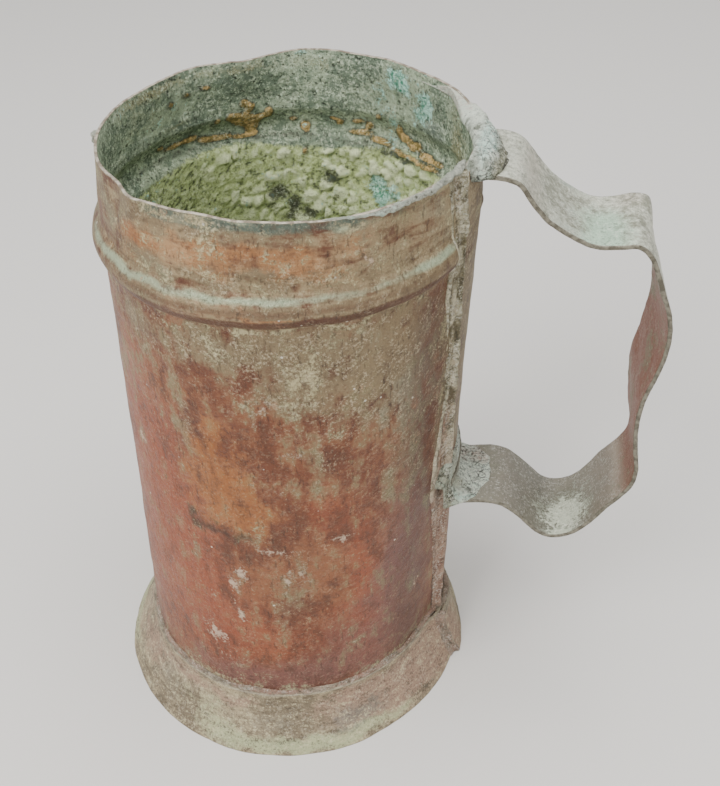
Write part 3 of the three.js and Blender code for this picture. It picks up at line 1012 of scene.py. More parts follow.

# %% [markdown]
# The inside has marks of its own. The deposits of ochre lie along the groove that the bead
# leaves there, the turquoise bloom is on the far wall towards the handle, and dark holes sit in
# the scales. A painted shadow along the groove is laid with those holes.

# %% Marks on the inside
inside_marks = {
    "ochre": [
        (117, 170.4, 1.1, 1.2, 1.0),
        (114.5, 168.6, 1.6, 1.5, 1.0),
        (121.5, 166.4, 1.4, 1.2, 1.0),
        (118, 165, 2.2, 2.0, 1.2),
        (114, 163.4, 2.0, 1.9, 1.2),
        (110.5, 164.7, 1.6, 1.0, 1.0),
        (107.2, 166, 1.2, 1.7, 1.1),
        (113.5, 161, 1.6, 1.2, 0.9),
        (149, 163.2, 1.6, 0.8, 0.8),
        (143, 161.8, 3.4, 0.9, 0.8),
        (136, 162.3, 2.4, 0.9, 0.9),
        (130, 160.9, 3.0, 0.8, 0.9),
        (124, 160.3, 3.4, 0.7, 0.9),
        (116, 159.5, 3.8, 0.5, 1.0),
        (145, 176, 1.0, 1.0, 0.7),
        (138, 176.6, 1.6, 1.0, 0.6),
        (131, 177.8, 1.4, 1.0, 0.6),
        (126.5, 166, 0.9, 1.1, 0.8),
        (99, 163, 1.0, 0.8, 0.9),
        (95, 160.4, 1.2, 1.6, 0.9),
        (94.5, 154.2, 0.8, 1.4, 0.7),
        (85, 163.6, 1.2, 0.6, 0.9),
        (83, 162.4, 0.8, 0.8, 1.0),
        (76.5, 163.2, 1.6, 0.8, 1.0),
        (72, 162.2, 1.2, 1.3, 1.0),
        (67.5, 166.5, 0.9, 0.9, 0.9),
        (75, 159.9, 3.6, 0.7, 1.0),
        (67, 158.5, 3.6, 0.7, 1.0),
        (59.5, 163.2, 1.0, 2.0, 1.1),
        (57, 161.4, 1.6, 1.0, 1.1),
        (52.5, 160.4, 2.2, 1.3, 1.2),
        (46, 159.0, 2.6, 0.9, 1.1),
        (40, 158.6, 2.0, 0.7, 1.0),
        (56, 157.3, 6, 0.5, 0.9),
        (43, 156.9, 5, 0.5, 0.9),
    ],
    "turquoise": [
        (60, 180, 3.0, 2.8, 0.95),
        (57, 177.6, 2.4, 2.2, 0.8),
        (46, 175.4, 2.4, 3.0, 0.95),
        (49, 171, 3.0, 3.0, 0.6),
        (68, 171, 3.4, 4, 0.3),
        (75, 178, 6, 3, 0.22),
        (62, 166, 3, 2, 0.3),
        (66, 146.5, 2.6, 3.6, 0.8),
        (59, 144.4, 2.2, 2.4, 0.75),
        (65, 141, 2.4, 3.0, 0.7),
    ],
    "pits_and_groove_shadow": [
        (105, 140.6, 3.0, 2.0, 0.9),
        (108, 136, 1.6, 2.2, 0.6),
        (98.5, 136.4, 1.6, 2.6, 1.0),
        (93, 133.4, 2.8, 1.8, 1.0),
        (101, 132, 2.6, 2.0, 0.8),
        (85, 145.6, 2.4, 2.4, 0.75),
        (91, 142, 1.4, 1.2, 0.6),
        (83, 139, 1.2, 1.4, 0.5),
        (97, 142, 1.2, 1.2, 0.5),
    ],
    "slate_blue": [
        (42, 168, 8, 5, 0.6),
        (137, 167, 12, 3.5, 0.5),
        (160, 168, 6, 5, 0.4),
        (95, 168, 22, 3, 0.3),
    ],
    "brown_film": [
        (26, 168, 7, 12, 0.65),
        (116, 181.5, 10, 2.0, 0.6),
        (150, 182, 16, 2.0, 0.55),
        (86, 180, 12, 3.0, 0.3),
        (142, 168.8, 5, 1.2, 0.55),
        (60, 162.5, 10, 1.4, 0.4),
        (160, 176, 14, 7, 0.3),
    ],
    "pale": [
        (148, 148, 16, 9, 0.6),
        (120, 155, 22, 3, 0.35),
        (70, 181, 24, 2, 0.25),
    ],
    # Darker red-brown inside in two places, one of them by the rim at the front left
    "dark_red_brown": [
        (-135, 181, 9, 5, 0.9),
        (178, 166, 8, 6, 0.4),
    ],
    # A painted shadow along the groove that the bead leaves inside
    "groove": [
        (140, 159.4, 18, 0.8, 0.7),
        (105, 158.3, 14, 0.9, 0.8),
        (80, 157.2, 12, 0.9, 0.8),
        (55, 155.8, 14, 0.8, 0.7),
    ],
}

print("marks inside:", sum(len(places) for places in inside_marks.values()))

# %% [markdown]
# A few marks follow the whole wall. The film grows thicker towards the collar and over the lap,
# the side in the shade of the handle is painted darker, and a painted highlight on the bead's
# upper shoulder and painted shade on and under the bead run all the way round. Low down the wall
# is redder, partly red copper and partly a painted pink reflection.
# The outlines wander, so that no stain looks drawn with a compass, but level lines stay level.

# %% Marks that follow the whole wall
level_marks = ("mint", "bead_shade", "under_bead_shade", "slate")
level_wander = 0.15
inside_wander = 0.2
front_middle = -85
front_half = 75
front_fade = 20
shade_middle = -30
shade_half = 17


def wall_marks(angle, z, wander):
    """The painted marks of the wall, with their outlines made uneven"""
    at = angle + wander[0] / body_radius
    at_inside = angle + inside_wander * wander[0] / body_radius
    level = z + level_wander * wander[1]
    marks = {}
    for mark, places in outside_marks.items():
        marks[mark] = stains(at, level if mark in level_marks else z + wander[1], places)
    for mark, places in inside_marks.items():
        marks[mark] = stains(at_inside, level, places)
    # The painted shadow in the groove is laid with the dark holes
    marks["pits_and_groove_shadow"] += 0.8 * marks.pop("groove")

    degrees = np.degrees(wrapped(angle))
    behind = smooth((np.abs(degrees - front_middle) - front_half) / front_fade)
    past = past_lap(angle, z)
    on_lap = smooth((past + 1) / 3) * (1 - smooth((past - 24) / 10))
    on_collar = smooth((z - collar_start) / 8)
    marks["olive"] += 0.15 + 0.25 * behind * smooth((z - 90) / 60)
    marks["olive"] += 0.5 * on_lap * smooth((z - 30) / 90)
    marks["olive"] += 0.42 * on_collar + 0.15 * smooth((z - 110) / 40)
    marks["tan"] += 0.27 * on_collar + 0.3 * hump(z, 20.5, 3.0)
    marks["grey"] += 0.45 * hump(z, 20, 5) + 0.2 * on_lap
    # Redder low down: partly red copper, partly a painted pink reflection
    marks["red_and_pink_reflection"] += (0.18 + 0.2 * behind) * smooth((140 - z) / 60)
    in_shade = hump(degrees, shade_middle, shade_half)
    marks["shade"] = 0.62 * in_shade * (1 - smooth((z - 150) / 12))
    marks["collar"] = smooth((z - collar_start) / 4)
    marks["scale"] = 1 - smooth((z - collar_start + 0.5 + 1.5 * np.sin(angle * 5)) / 4)

    # A painted highlight on the bead's upper shoulder, and painted shade on the bead and under it
    on_bead = beside_lap(angle, z) * behind
    marks["mint"] += 0.5 * on_bead * hump(z, bead_height + 3.1, 1.0)
    marks["bead_shade"] += 0.6 * on_bead * hump(z, bead_height + 0.7, 1.1)
    marks["under_bead_shade"] += 0.8 * on_bead * hump(z, bead_height - 2.8, 1.5)
    return marks


# %% [markdown]
# Now the body can be rolled. The rows of the blank lie closer together where there is more to
# see: at the bead and at the rim. The sheet climbs on to its own inner end at the lap.

# %% Roll the body
body_length = around_wall + lap_width
body_rows = spaced((body_start, 100, 2.5), (100, 120, 1.2), (120, height, 0.65))
body_columns = spaced((0, 150, 1.25), (150, 275, 0.75), (275, body_length, 1.0))
body_shape = flat_sheet(body_columns, body_rows, body_sheet, file_mark)
body_flat = coordinates(body_shape)
body_level = body_flat[:, 1]
body_angle = (lap_width - lap_edge(body_level) - body_flat[:, 0]) / body_radius
body_rise = body_step * climbed(body_flat[:, 0], lap_blend)
plain_points = around(body_angle, body_radius, body_level)
wander = (5.0 * clouds(plain_points, 8, 1), 4.0 * clouds(plain_points, 8, 2))
marks = wall_marks(body_angle, body_level, wander)
print("the body's blank is", round(body_length, 1), "by", height - body_start, "mm")

# %% [markdown]
# The crust inside has three parts: scales below the groove, deposits along it and fine grit
# everywhere. The scales are large lumps with small crumbs between them, and they are coarsest on
# the side that the light reaches. Near the rim the crust fades out, so that the edge stays thin.

# %% The crust inside the body
scale_size = 4.0
scale_wander = 1.6
crumb_size = 1.8
crust_bed = 0.25
crust_limit = 2.4
crust_stop = 2.6
crust_fade = 2.0
inside_degrees = np.degrees(wrapped(body_angle))
scale_across = wrapped(body_angle) * body_radius + scale_wander * clouds(plain_points, 4, 5)
scale_up = body_level + scale_wander * clouds(plain_points, 4, 6)
lump, lump_chance = crowded(scale_across, scale_up, scale_size, 3)
crumb, crumb_chance = crowded(scale_across, scale_up, crumb_size, 4)
coarse = smooth((140 - inside_degrees) / 25) * smooth((inside_degrees - 20) / 20)
coarse = coarse * (0.55 + 0.45 * smooth(0.5 + clouds(plain_points, 9, 47)))
lump = lump * (1 + 0.35 * clouds(plain_points, 1.6, 49))
scales = coarse * lump * (0.15 + 1.15 * smooth((lump_chance - 0.05) / 0.7))
scales += (0.55 - 0.3 * coarse) * crumb * (0.4 + 0.6 * crumb_chance)
scales = scales * marks["scale"] * (1 - 0.9 * marks["pits_and_groove_shadow"].clip(0, 1))
deposits = np.clip(marks["ochre"] * 1.6 - 0.35, 0, 1) * (0.85 + 0.3 * clouds(plain_points, 2.0, 8))
grit = (0.16 + 0.12 * marks["scale"]) * clouds(plain_points, 1.9, 7, 4)
crust = np.clip(scales + deposits + grit + crust_bed, 0, crust_limit)
crust = crust * (1 - smooth((body_level - height + crust_stop) / crust_fade))
marks["scale_height"] = scales
print("the crust is up to", round(float(crust.max()), 2), "mm thick")

# %% [markdown]
# The outer face gets the soft unevenness of hand work. The inner face is set back from it by the
# sheet and the crust, so the wall never grows outside. The rim is filed thinner, waves a little
# up and down, and dips where the solder of the handle lies over it.

# %% The faces of the body
thinned = smooth((body_level - height + rim_thinned) / 5)
thickness = body_sheet + (rim_sheet - body_sheet) * thinned
inner_side = 1 - smooth(body_flat[:, 2] / body_sheet)
hand_work = 0.30 * clouds(plain_points, 26, 3) + 0.12 * clouds(plain_points, 7, 4)
fringe = 0.25 * hump(body_level, collar_start + 0.9, 0.7) * marks["collar"]
fringe = fringe * (1 + clouds(plain_points, 4, 11))
body_out = wall_radius(body_angle, body_level) + body_rise + fringe
body_out += stains(body_angle, body_level, soft_dents)
body_out += hand_work * (1 - 0.6 * near_rim(body_level)) - (thickness + crust) * inner_side
rim_place = plain_points * (1, 1, 0)
rim_wave = rim_wave_high * clouds(rim_place, rim_wave_long, 9) + 0.1 * clouds(rim_place, 3, 10)
body_drop = (ear_dip_at(body_angle) - rim_wave + rim_margin) * near_rim(body_level)
make_piece(
    "rolled_body",
    body_shape,
    around(body_angle, body_out, body_level - body_drop),
    marks,
    [copper_outside, crust_inside, rim_edge],
    "body_sheet",
    face_of=sheet_faces(body_sheet),
)

# %% [markdown]
# ## The floor and its solder
#
# The floor is a disc with a slightly raised middle, soldered in from above. It is hidden from
# the camera, but not from above or below, so it gets the same care. A disc is quickest as a
# profile that is spun about the axis of the body.

# %% The floor
floor_overlap = 0.2
floor_radius = plain_radius(floor_height) - body_sheet + floor_overlap
rings = spaced((0.0, floor_radius, 1.4))


def dished(out):
    return floor_dish * (1 - smooth(out / floor_radius))


floor_top = [(out, floor_height + floor_sheet + dished(out)) for out in rings]
floor_bottom = [(out, floor_height + dished(out)) for out in reversed(rings)]
floor_shape = turned_ring(floor_top + floor_bottom, 150)
floor_flat = coordinates(floor_shape)
floor_angle, floor_out = polar(floor_flat)
floor_side = smooth((floor_flat[:, 2] - floor_height - dished(floor_out)) / floor_sheet)
floor_crust = (0.7 + 0.9 * clouds(floor_flat, 3.5, 12)).clip(0, 1.6) * floor_side
floor_wave = 0.25 * clouds(floor_flat, 20, 13)
make_piece(
    "round_floor",
    floor_shape,
    around(floor_angle, floor_out, floor_flat[:, 2] + floor_crust + floor_wave),
    {
        "scale": 0.9 * floor_side,
        "scale_height": 0.5 * floor_crust,
        "ochre": 0.5 * hump(floor_out, 34, 6) * floor_side,
        "turquoise": 0.5 * clouds(floor_flat, 18, 14),
        "pits_and_groove_shadow": 0.5 * clouds(floor_flat, 9, 15),
    },
    [crust_inside],
    "floor_disc",
)

# %% [markdown]
# The solder round the floor is a fillet: it draws itself up the wall and out over the floor, with
# a hollow face between. A few points on a curve give its outline. It bites a little into the wall
# and the floor, as solder does, so that no gap shows.

# %% The solder round the floor
fillet_bite = 0.2
fillet_size = 3.2
fillet_steps = 6
wall_at_floor = plain_radius(floor_height) - body_sheet
fillet_start = floor_height + floor_sheet - fillet_bite
fillet_profile = [
    (wall_at_floor + 2 * fillet_bite, fillet_start),
    (wall_at_floor + 2 * fillet_bite, fillet_start + fillet_size),
]
for step in range(fillet_steps + 1):
    reach = math.sin(math.pi / 2 * step / fillet_steps)
    rise = 0.9 * fillet_size * (1 - reach) + fillet_bite
    fillet_profile.append((wall_at_floor - fillet_size * reach**1.5, fillet_start + rise))
fillet_shape = turned_ring(fillet_profile, 200)
fillet_flat = coordinates(fillet_shape)
fillet_angle, fillet_out = polar(fillet_flat)
fillet_lump = clouds(fillet_flat, 4, 16)
fillet_out = fillet_out - 0.5 * fillet_lump * smooth(wall_at_floor - fillet_out)
make_piece(
    "floor_solder_ring",
    fillet_shape,
    around(fillet_angle, fillet_out, fillet_flat[:, 2]),
    {"lump": 0.3 * fillet_lump, "olive": 0.3 + 0.3 * clouds(fillet_flat, 9, 43)},
    [pale_solder],
    "floor_solder",
)

# %% [markdown]
# ## The foot
#
# The foot is another blank, rolled into a trumpet. Its upper edge grips the body like a sleeve,
# and its lapped end stands out a little at the lower corner. It rests on its lower edge, so the
# unevenness there goes in and out but never up.

# %% Roll the foot
foot_length = around_wall + foot_lap_width
foot_rows = spaced((0, foot_height, 0.6))
foot_shape = flat_sheet(spaced((0, foot_length, 0.9)), foot_rows, foot_sheet, file_mark)
foot_flat = coordinates(foot_shape)
foot_level = foot_flat[:, 1]
foot_angle = (foot_lap_width - foot_lap_edge - foot_flat[:, 0]) / body_radius
sleeve_radius = plain_radius(foot_height) + clearance + foot_sheet


def skirt_radius(angle, z):
    down = np.clip(1 - z / sleeve_start, 0, 1)
    flare = (foot_radius - sleeve_radius) * down**foot_flare
    return sleeve_radius + flare + lap_cover(angle, foot_height) * (1 - down)


foot_rise = foot_step * climbed(foot_flat[:, 0], foot_lap_blend)
to_end = foot_length - foot_flat[:, 0]
near_corner = (1 - smooth(to_end / foot_corner_reach)) * smooth(1 - foot_level / sleeve_start)
foot_plain = around(foot_angle, foot_radius, foot_level)
foot_wave = 0.4 * clouds(foot_plain, 17, 17) + 0.14 * clouds(foot_plain, 4, 18)
foot_out = skirt_radius(foot_angle, foot_level) + foot_rise + foot_wave
foot_out += foot_corner_lift * near_corner
foot_out += foot_flat[:, 2] - foot_sheet

# %% The marks of the foot
foot_stains = {
    "warm": [
        (-150, 12, 16, 7, 0.6),
        (-122, 15, 12, 3, 0.5),
        (-100, 14.5, 7, 2.2, 0.6),
        (-30, 10, 14, 9, 0.6),
        (-60, 14, 16, 4, 0.4),
        (-8, 8, 9, 12, 0.8),
        (-46, 10, 22, 9, 0.7),
        (120, 9, 60, 8, 0.4),
    ],
    "mint": [(-118, 9, 14, 5, 0.4), (-98, 4, 18, 3, 0.4), (-75, 4, 8, 3, 0.4)],
    "slate": [(-132, 9, 7, 5, 0.5), (-85, 9, 8, 5, 0.5), (-58, 8, 10, 5, 0.5)],
    "bruise": [(-68, 6, 2.2, 0.5, 0.9), (-88, 17, 4, 0.7, 0.6), (-134, 15, 4, 0.8, 0.5)],
}
at = foot_angle + 4.0 * clouds(foot_plain, 8, 19) / body_radius
level = foot_level + 2.0 * clouds(foot_plain, 8, 20)
foot_marks = {mark: stains(at, level, places) for mark, places in foot_stains.items()}
foot_marks["mint"] += 0.75 * hump(level, 2.2, 2.2) * (0.6 + 0.5 * np.sin(foot_angle * 3 - 1))
make_piece(
    "flared_foot",
    foot_shape,
    around(foot_angle, foot_out, foot_level),
    foot_marks,
    [foot_finish, foot_finish, foot_edge],
    "foot_skirt",
    face_of=sheet_faces(foot_sheet),
)

# %% [markdown]
# Where the body enters the foot, a crusty ring of solder fills the corner. It is spun like the
# floor's solder. Its height then changes along the way, it follows every bulge of the wall, and
# it climbs over the lap of the foot.

# %% The crusty ring of solder above the foot
ring_bite = 0.4
ring_below = 0.9
ring_wall = plain_radius(foot_height) - ring_bite
ring_start = foot_height - ring_below
ring_reach = 1.5
ring_top = 0.75
ring_high = 2.6
ring_steps = 8
over_lap = 1.5
ring_profile = [(ring_wall, ring_start)]
for step in range(ring_steps + 1):
    share = step / ring_steps
    across = ring_top + (ring_reach - ring_top) * (1 - share) ** 1.3
    ring_profile.append((ring_wall + across, ring_start + ring_high * share))
ring_profile.append((ring_wall, ring_start + ring_high + 0.2))
ring_shape = turned_ring(ring_profile, 330)
ring_flat = coordinates(ring_shape)
ring_angle, ring_out = polar(ring_flat)
ring_lump = clouds(ring_flat, 2.4, 22, 4)
ring_size = (0.85 + 0.45 * clouds(ring_flat * (1, 1, 0), 8, 21)).clip(0.4, 1.25)
ring_out += 0.25 * ring_lump * smooth(ring_out - ring_wall)
ring_up = ring_start + (ring_flat[:, 2] - ring_start) * ring_size
ring_shift = real_wall(ring_angle, ring_up) - plain_radius(foot_height)
ring_along = wrapped(ring_angle) * body_radius
on_foot_lap = smooth((ring_along + foot_lap_edge + 1) / 2) * (1 - smooth((ring_along - 1) / 8))
ring_shift += over_lap * on_foot_lap * smooth((ring_out - ring_wall) / 0.6)
make_piece(
    "foot_solder_ring",
    ring_shape,
    around(ring_angle, ring_out + ring_shift, ring_up),
    {
        "lump": 0.3 * ring_lump,
        "warm": 0.3 + 0.4 * clouds(ring_flat, 12, 44),
        "pinkish": 0.4 + 0.4 * clouds(ring_flat, 9, 45),
        "bruise": 0.35 * clouds(ring_flat, 3, 23),
    },
    [foot_solder_finish],
    "foot_solder",
)

# %% [markdown]
# ## Runs of solder
#
# A run of solder is a low mound laid along a line. It starts as a flat sheet again: its lower
# face sinks a little into what it lies on, and its upper face rises to the height of the mound.
# The run on the foot's lap is plain, and it is lifted where the corner of the foot stands out.

# %% The run of solder on the foot's lap
lap_run_width = 3.4
lap_run_over = 1.0
lap_run_margin = 0.4
lap_run_sink = 0.4
lap_run = flat_sheet(spaced((0, 1, 0.08)), spaced((0, 1, 0.025)), 1.0)
lap_flat = coordinates(lap_run)
lap_across = lap_flat[:, 0]
lap_z = lap_run_margin + (foot_height - 2 * lap_run_margin) * lap_flat[:, 1]
lap_angle = (lap_run_over - foot_lap_edge - lap_run_width * (1 - lap_across)) / body_radius
lap_lump = clouds(around(lap_angle, body_radius, lap_z), 2.4, 24, 4)
lap_bulge = np.sin(math.pi * np.clip(lap_across * 0.94 + 0.03, 0, 1)) ** 0.6
lap_high = (0.75 + 0.5 * lap_lump).clip(0.15, 1.6) * lap_bulge
lap_under = 0.8 * foot_step * smooth((lap_across - 0.55) / 0.15)
lap_lift = foot_corner_lift * smooth((lap_across - 0.4) / 0.5) * (1 - lap_flat[:, 1])
lap_out = skirt_radius(lap_angle, lap_z) + lap_under + lap_lift - lap_run_sink
make_piece(
    "foot_lap_run",
    lap_run,
    around(lap_angle, lap_out + (lap_run_sink + lap_high) * lap_flat[:, 2], lap_z),
    {"lump": 0.3 * lap_lump, "pinkish": 0.5, "bruise": 0.7 * hump(lap_across, 0.8, 0.08)},
    [foot_solder_finish],
    "foot_lap_solder",
)

# %% [markdown]
# The bar along the body's seam has a main ridge on the step of the lap and a thin smear beside
# it, with a second ridge that comes and goes. Its left outline wanders as the iron did: a few
# heights give the way from the handle's line, and noise makes the rest.

# %% The outline of the bar along the seam
seam_left = [
    (11, -8.5),
    (29, -8.9),
    (46, -11.2),
    (63, -15.0),
    (80, -18.6),
    (91, -18.2),
    (104, -16.6),
    (114, -15.6),
    (136, -18.4),
    (149, -19.8),
    (162, -20.4),
    (177, -21.8),
    (184, -23.0),
]
seam_start = foot_height + 0.2
seam_end = height - 1.3
seam_past_step = 1.4


def traced(places, line):
    """Reads a line that is given by a few points, with straight stretches between them"""
    return np.interp(places, *zip(*line))


seam_shape = flat_sheet(spaced((0, 1, 0.045)), spaced((0, 1, 0.0045)), 1.0)
seam_flat = coordinates(seam_shape)
across = seam_flat[:, 0]
seam_z = seam_start + (seam_end - seam_start) * seam_flat[:, 1]
seam_line = around(0 * seam_z, body_radius, seam_z)
seam_rough = clouds(seam_line, 6, 46)
left = traced(seam_z, seam_left) + 0.9 * seam_rough
right = seam_past_step - lap_edge(seam_z) + 0.5 * seam_rough
seam_along = left + (right - left) * across
from_step = seam_along + lap_edge(seam_z)
print("the seam's bar is up to", round(float((right - left).max()), 1), "mm wide")

# %% The bar of solder along the seam
seam_sink = 0.5
seam_angle = seam_along / body_radius
seam_plain = around(seam_angle, body_radius, seam_z)
seam_lump = clouds(seam_plain * (1, 1, 0.25), 2.0, 25, 4) + 0.5 * clouds(seam_plain, 2.0, 26)
broken = smooth(0.5 + clouds(seam_line, 5, 51))
ridge = 0.95 * hump(from_step, -0.4, 1.1) + 0.3 * hump(across, 0.16, 0.14) * broken + 0.24
ends = smooth(across / 0.10) * smooth((1 - across) / 0.12)
seam_high = ridge * ends * (1 + 0.55 * seam_lump).clip(0.15, 1.9)
seam_high -= 0.3 * hump(from_step, -2.6, 0.5) * ends
seam_wall = wall_radius(seam_angle, seam_z) + body_step * smooth((from_step + 0.9) / 1.2)
seam_out = seam_wall + stains(seam_angle, seam_z, soft_dents) - seam_sink
high_up = smooth((seam_z - 60) / 70)
make_piece(
    "seam_solder_bar",
    seam_shape,
    around(seam_angle, seam_out + (seam_sink + seam_high) * seam_flat[:, 2], seam_z),
    {
        "lump": 0.45 * seam_lump + 0.06,
        "crackled": 0.6,
        "olive": 0.45 * high_up,
        "pinkish": 0.75 * (1 - high_up) + 0.3 * hump(across, 0.45, 0.2),
        "mint": 0.35 * hump(seam_z, 84, 14),
        "bruise": 0.4 * hump(from_step, -2.6, 0.35) + 0.3 * hump(across, 0.02, 0.03),
    },
    [seam_finish],
    "seam_solder",
)

# %% [markdown]
# ## The strap
#
# The handle is one strap, bent by hand into waves. Its middle line is a smooth curve through a
# few points, each given by how far it stands out from the wall and how far below the strap's
# upper end it lies. A flat blank as long as that line is laid along it. At both ends the strap
# is hollowed to fit the round wall, and in the upright run one edge stands further out.

# %% The points of the strap's line
strap_path = [
    (7.5, 0),
    (11.2, 1.7),
    (14.7, 6.2),
    (19.2, 11.0),
    (25.7, 15.4),
    (31.2, 17.4),
    (36.2, 17.1),
    (40.6, 16.5),
    (43.8, 19.0),
    (46.0, 23.4),
    (48.4, 30.0),
    (50.8, 37.5),
    (51.8, 45.0),
    (50.9, 54.5),
    (49.6, 63.5),
    (49.9, 71.0),
    (51.0, 80.0),
    (52.9, 88.0),
    (52.6, 94.0),
    (50.0, 99.2),
    (46.6, 104.2),
    (43.6, 109.8),
    (39.6, 114.6),
    (34.9, 116.8),
    (30.5, 116.1),
    (26.6, 112.9),
    (22.2, 108.4),
    (18.2, 105.4),
    (13.6, 104.4),
    (8.6, 105.0),
]


def through(points, steps):
    """A smooth line through the points, with a number of steps from each to the next"""
    line = []
    for i in range(len(points) - 1):
        p0 = points[max(0, i - 1)]
        p1 = points[i]
        p2 = points[i + 1]
        p3 = points[min(len(points) - 1, i + 2)]
        for step in range(steps):
            t = step / steps
            start = (p2 - p0) / 2
            end = (p3 - p1) / 2
            cubic = (2 * p1 - 2 * p2 + start + end) * t**3
            line.append(cubic + (3 * p2 - 3 * p1 - 2 * start - end) * t**2 + start * t + p1)
    return [*line, points[-1]]


print("the strap's line has", len(strap_path), "points")

# %% The whole line, with its bend and its turned-up end
bend_steps = 6
steps_between = 6
upper_level = height - strap_top_drop
lower_level = height - strap_foot_drop
tab_wall = float(seat_radius(lower_level)) + strap_sheet / 2
strap_points = [np.array([body_radius + out, upper_level - drop]) for out, drop in strap_path]
strap_line = [np.array([float(seat_radius(upper_level)), upper_level])]
strap_line += through(strap_points, steps_between)
for step in range(1, bend_steps + 1):
    turn = math.pi / 2 * step / bend_steps
    x = tab_wall + strap_bend_radius * (1 - math.sin(turn))
    strap_line.append(np.array([x, lower_level + strap_bend_radius * (1 - math.cos(turn))]))
strap_line.append(np.array([tab_wall, lower_level + strap_tab_height]))
strap_line = np.array(strap_line)
steps = np.linalg.norm(np.diff(strap_line, axis=0), axis=1)
strap_reach = np.concatenate([[0], np.cumsum(steps)])
strap_length = float(strap_reach[-1])
print("length of the strap:", round(strap_length, 1), "mm")


def strap_place(along):
    return np.column_stack([np.interp(along, strap_reach, strap_line[:, i]) for i in (0, 1)])


def on_strap(along, near=0.6):
    """The place of the strap's middle line, and its direction there"""
    ahead = strap_place(along + near)
    back = strap_place(along - near)
    heading = (ahead - back) / np.linalg.norm(ahead - back, axis=1)[:, None]
    return (ahead + back) / 2, heading


# %% [markdown]
# The blank is laid along that line, square to its direction. Hammering has left it uneven, and
# one corner of the upper bend was knocked outwards. Close to the body the strap hollows itself to
# the round wall.

# %% Bend the strap
corner_place = 48.0
corner_out = 1.1
strap_file_mark = 0.25
strap_across = spaced((-strap_width / 2, strap_width / 2, 0.7))
strap_along = spaced((0, strap_length, 0.7))
strap_shape = flat_sheet(strap_across, strap_along, strap_sheet, strap_file_mark)
strap_flat = coordinates(strap_shape)
across = strap_flat[:, 0]
along = strap_flat[:, 1].clip(0, strap_length)
line, heading = on_strap(along)
strap_plain = np.column_stack([line[:, 0], across, line[:, 1]])
hammered = 0.24 * clouds(strap_plain, 8, 28) + 0.09 * clouds(strap_plain, 2.6, 29)
offset = strap_flat[:, 2] - strap_sheet / 2 + hammered
far_side = smooth((2 - across) / 12)
corner = corner_out * far_side * hump(along, corner_place, 3.2)
strap_x = line[:, 0] - offset * heading[:, 1] + corner
strap_z = line[:, 1] + offset * heading[:, 0] + corner
strap_y = -across * (1 + 0.014 * clouds(strap_plain * (1, 0, 1), 10, 30))
strap_wall = seat_radius(strap_z)
near_wall = 1 - smooth((strap_x - strap_wall - strap_sheet) / strap_wrap_reach)
hollow = (strap_wall - np.sqrt(strap_wall**2 - strap_y**2)) * near_wall
twist = strap_twist * hump(upper_level - strap_z, strap_twist_drop, strap_twist_half)
twist = twist * (1 - near_wall) * 2 * strap_y / strap_width
strap_x = strap_x - hollow - twist + rim_lean * strap_z / height

# %% [markdown]
# The strap's marks follow its length, counted from the rim. Its outer side has a mint bloom
# before the upper bend. The inner side is bare in the upright run and dull in the lower one, with
# a pale crust in the hollow of the lowest wave.

# %% The marks of the strap
upper_hollow = 30
upper_bend = 46
lower_wave = 154
near_side = 1 - far_side
inner_face = 1 - smooth(strap_flat[:, 2] / strap_sheet)
upright = smooth((along - 50) / 6) * (1 - 0.6 * smooth((along - 118) / 18))
upright = upright * (1 - smooth((along - 136) / 18))
lower_run = smooth((along - 128) / 10)
bare_above = 0.5 * (1 - smooth((along - upper_bend) / 8))
warm_below = 0.7 * hump(along, 137, 8) + 0.5 * hump(along, 176, 6)
crust_middle = 0.9 * hump(along, lower_wave, 11) * hump(across, 3.5, 12)
crust_edge = 0.7 * hump(along, lower_wave, 4.5) * hump(across, 11.4, 1.2)
mint_edge = 0.9 * hump(along, lower_wave, 5) * hump(across, 11, 1.6)
strap_marks = {
    "bare": inner_face * (upright + bare_above),
    "warm": 0.5 * hump(along, 44, 6) * far_side + 0.45 * hump(along, 14, 7),
    "mint": 0.65 * hump(along, 38, 7) * near_side + 0.25 * hump(along, upper_hollow, 12),
    "slate": 0.35 * hump(along, 26, 7),
    "dull": inner_face * lower_run * (0.75 + 0.25 * hump(along, 140, 8)),
    "crust": 0.4 * hump(along, upper_hollow, 2) * hump(across, 6, 3),
    "bruise": 0.35 * hump(np.abs(strap_y), strap_width / 2, 0.6),
}
strap_marks["warm"] += inner_face * warm_below
strap_marks["mint"] += inner_face * lower_run * (0.25 + mint_edge)
strap_marks["slate"] += inner_face * (0.75 * hump(along, 166, 7) + 0.4 * lower_run)
strap_marks["crust"] += inner_face * (crust_middle + crust_edge)
strap_marks["bruise"] += 0.5 * hump(along, upper_hollow + 1, 1.5) * hump(across, 7, 2)
make_piece(
    "bent_strap",
    strap_shape,
    np.column_stack([strap_x, strap_y, strap_z]),
    strap_marks,
    [strap_finish, strap_finish, dark_edge],
    "handle_strap",
    face_of=sheet_faces(strap_sheet),
)

# %% [markdown]
# ## The solder on the handle
#
# At the rim the smith flooded the strap's end with solder. It laps over the rim as a rough mound
# with a ragged outline, and inside the rim it runs out into a smooth flange. Both its inner and
# its outer line are given by a few places round the rim: degrees from the handle and a distance
# from the axis.

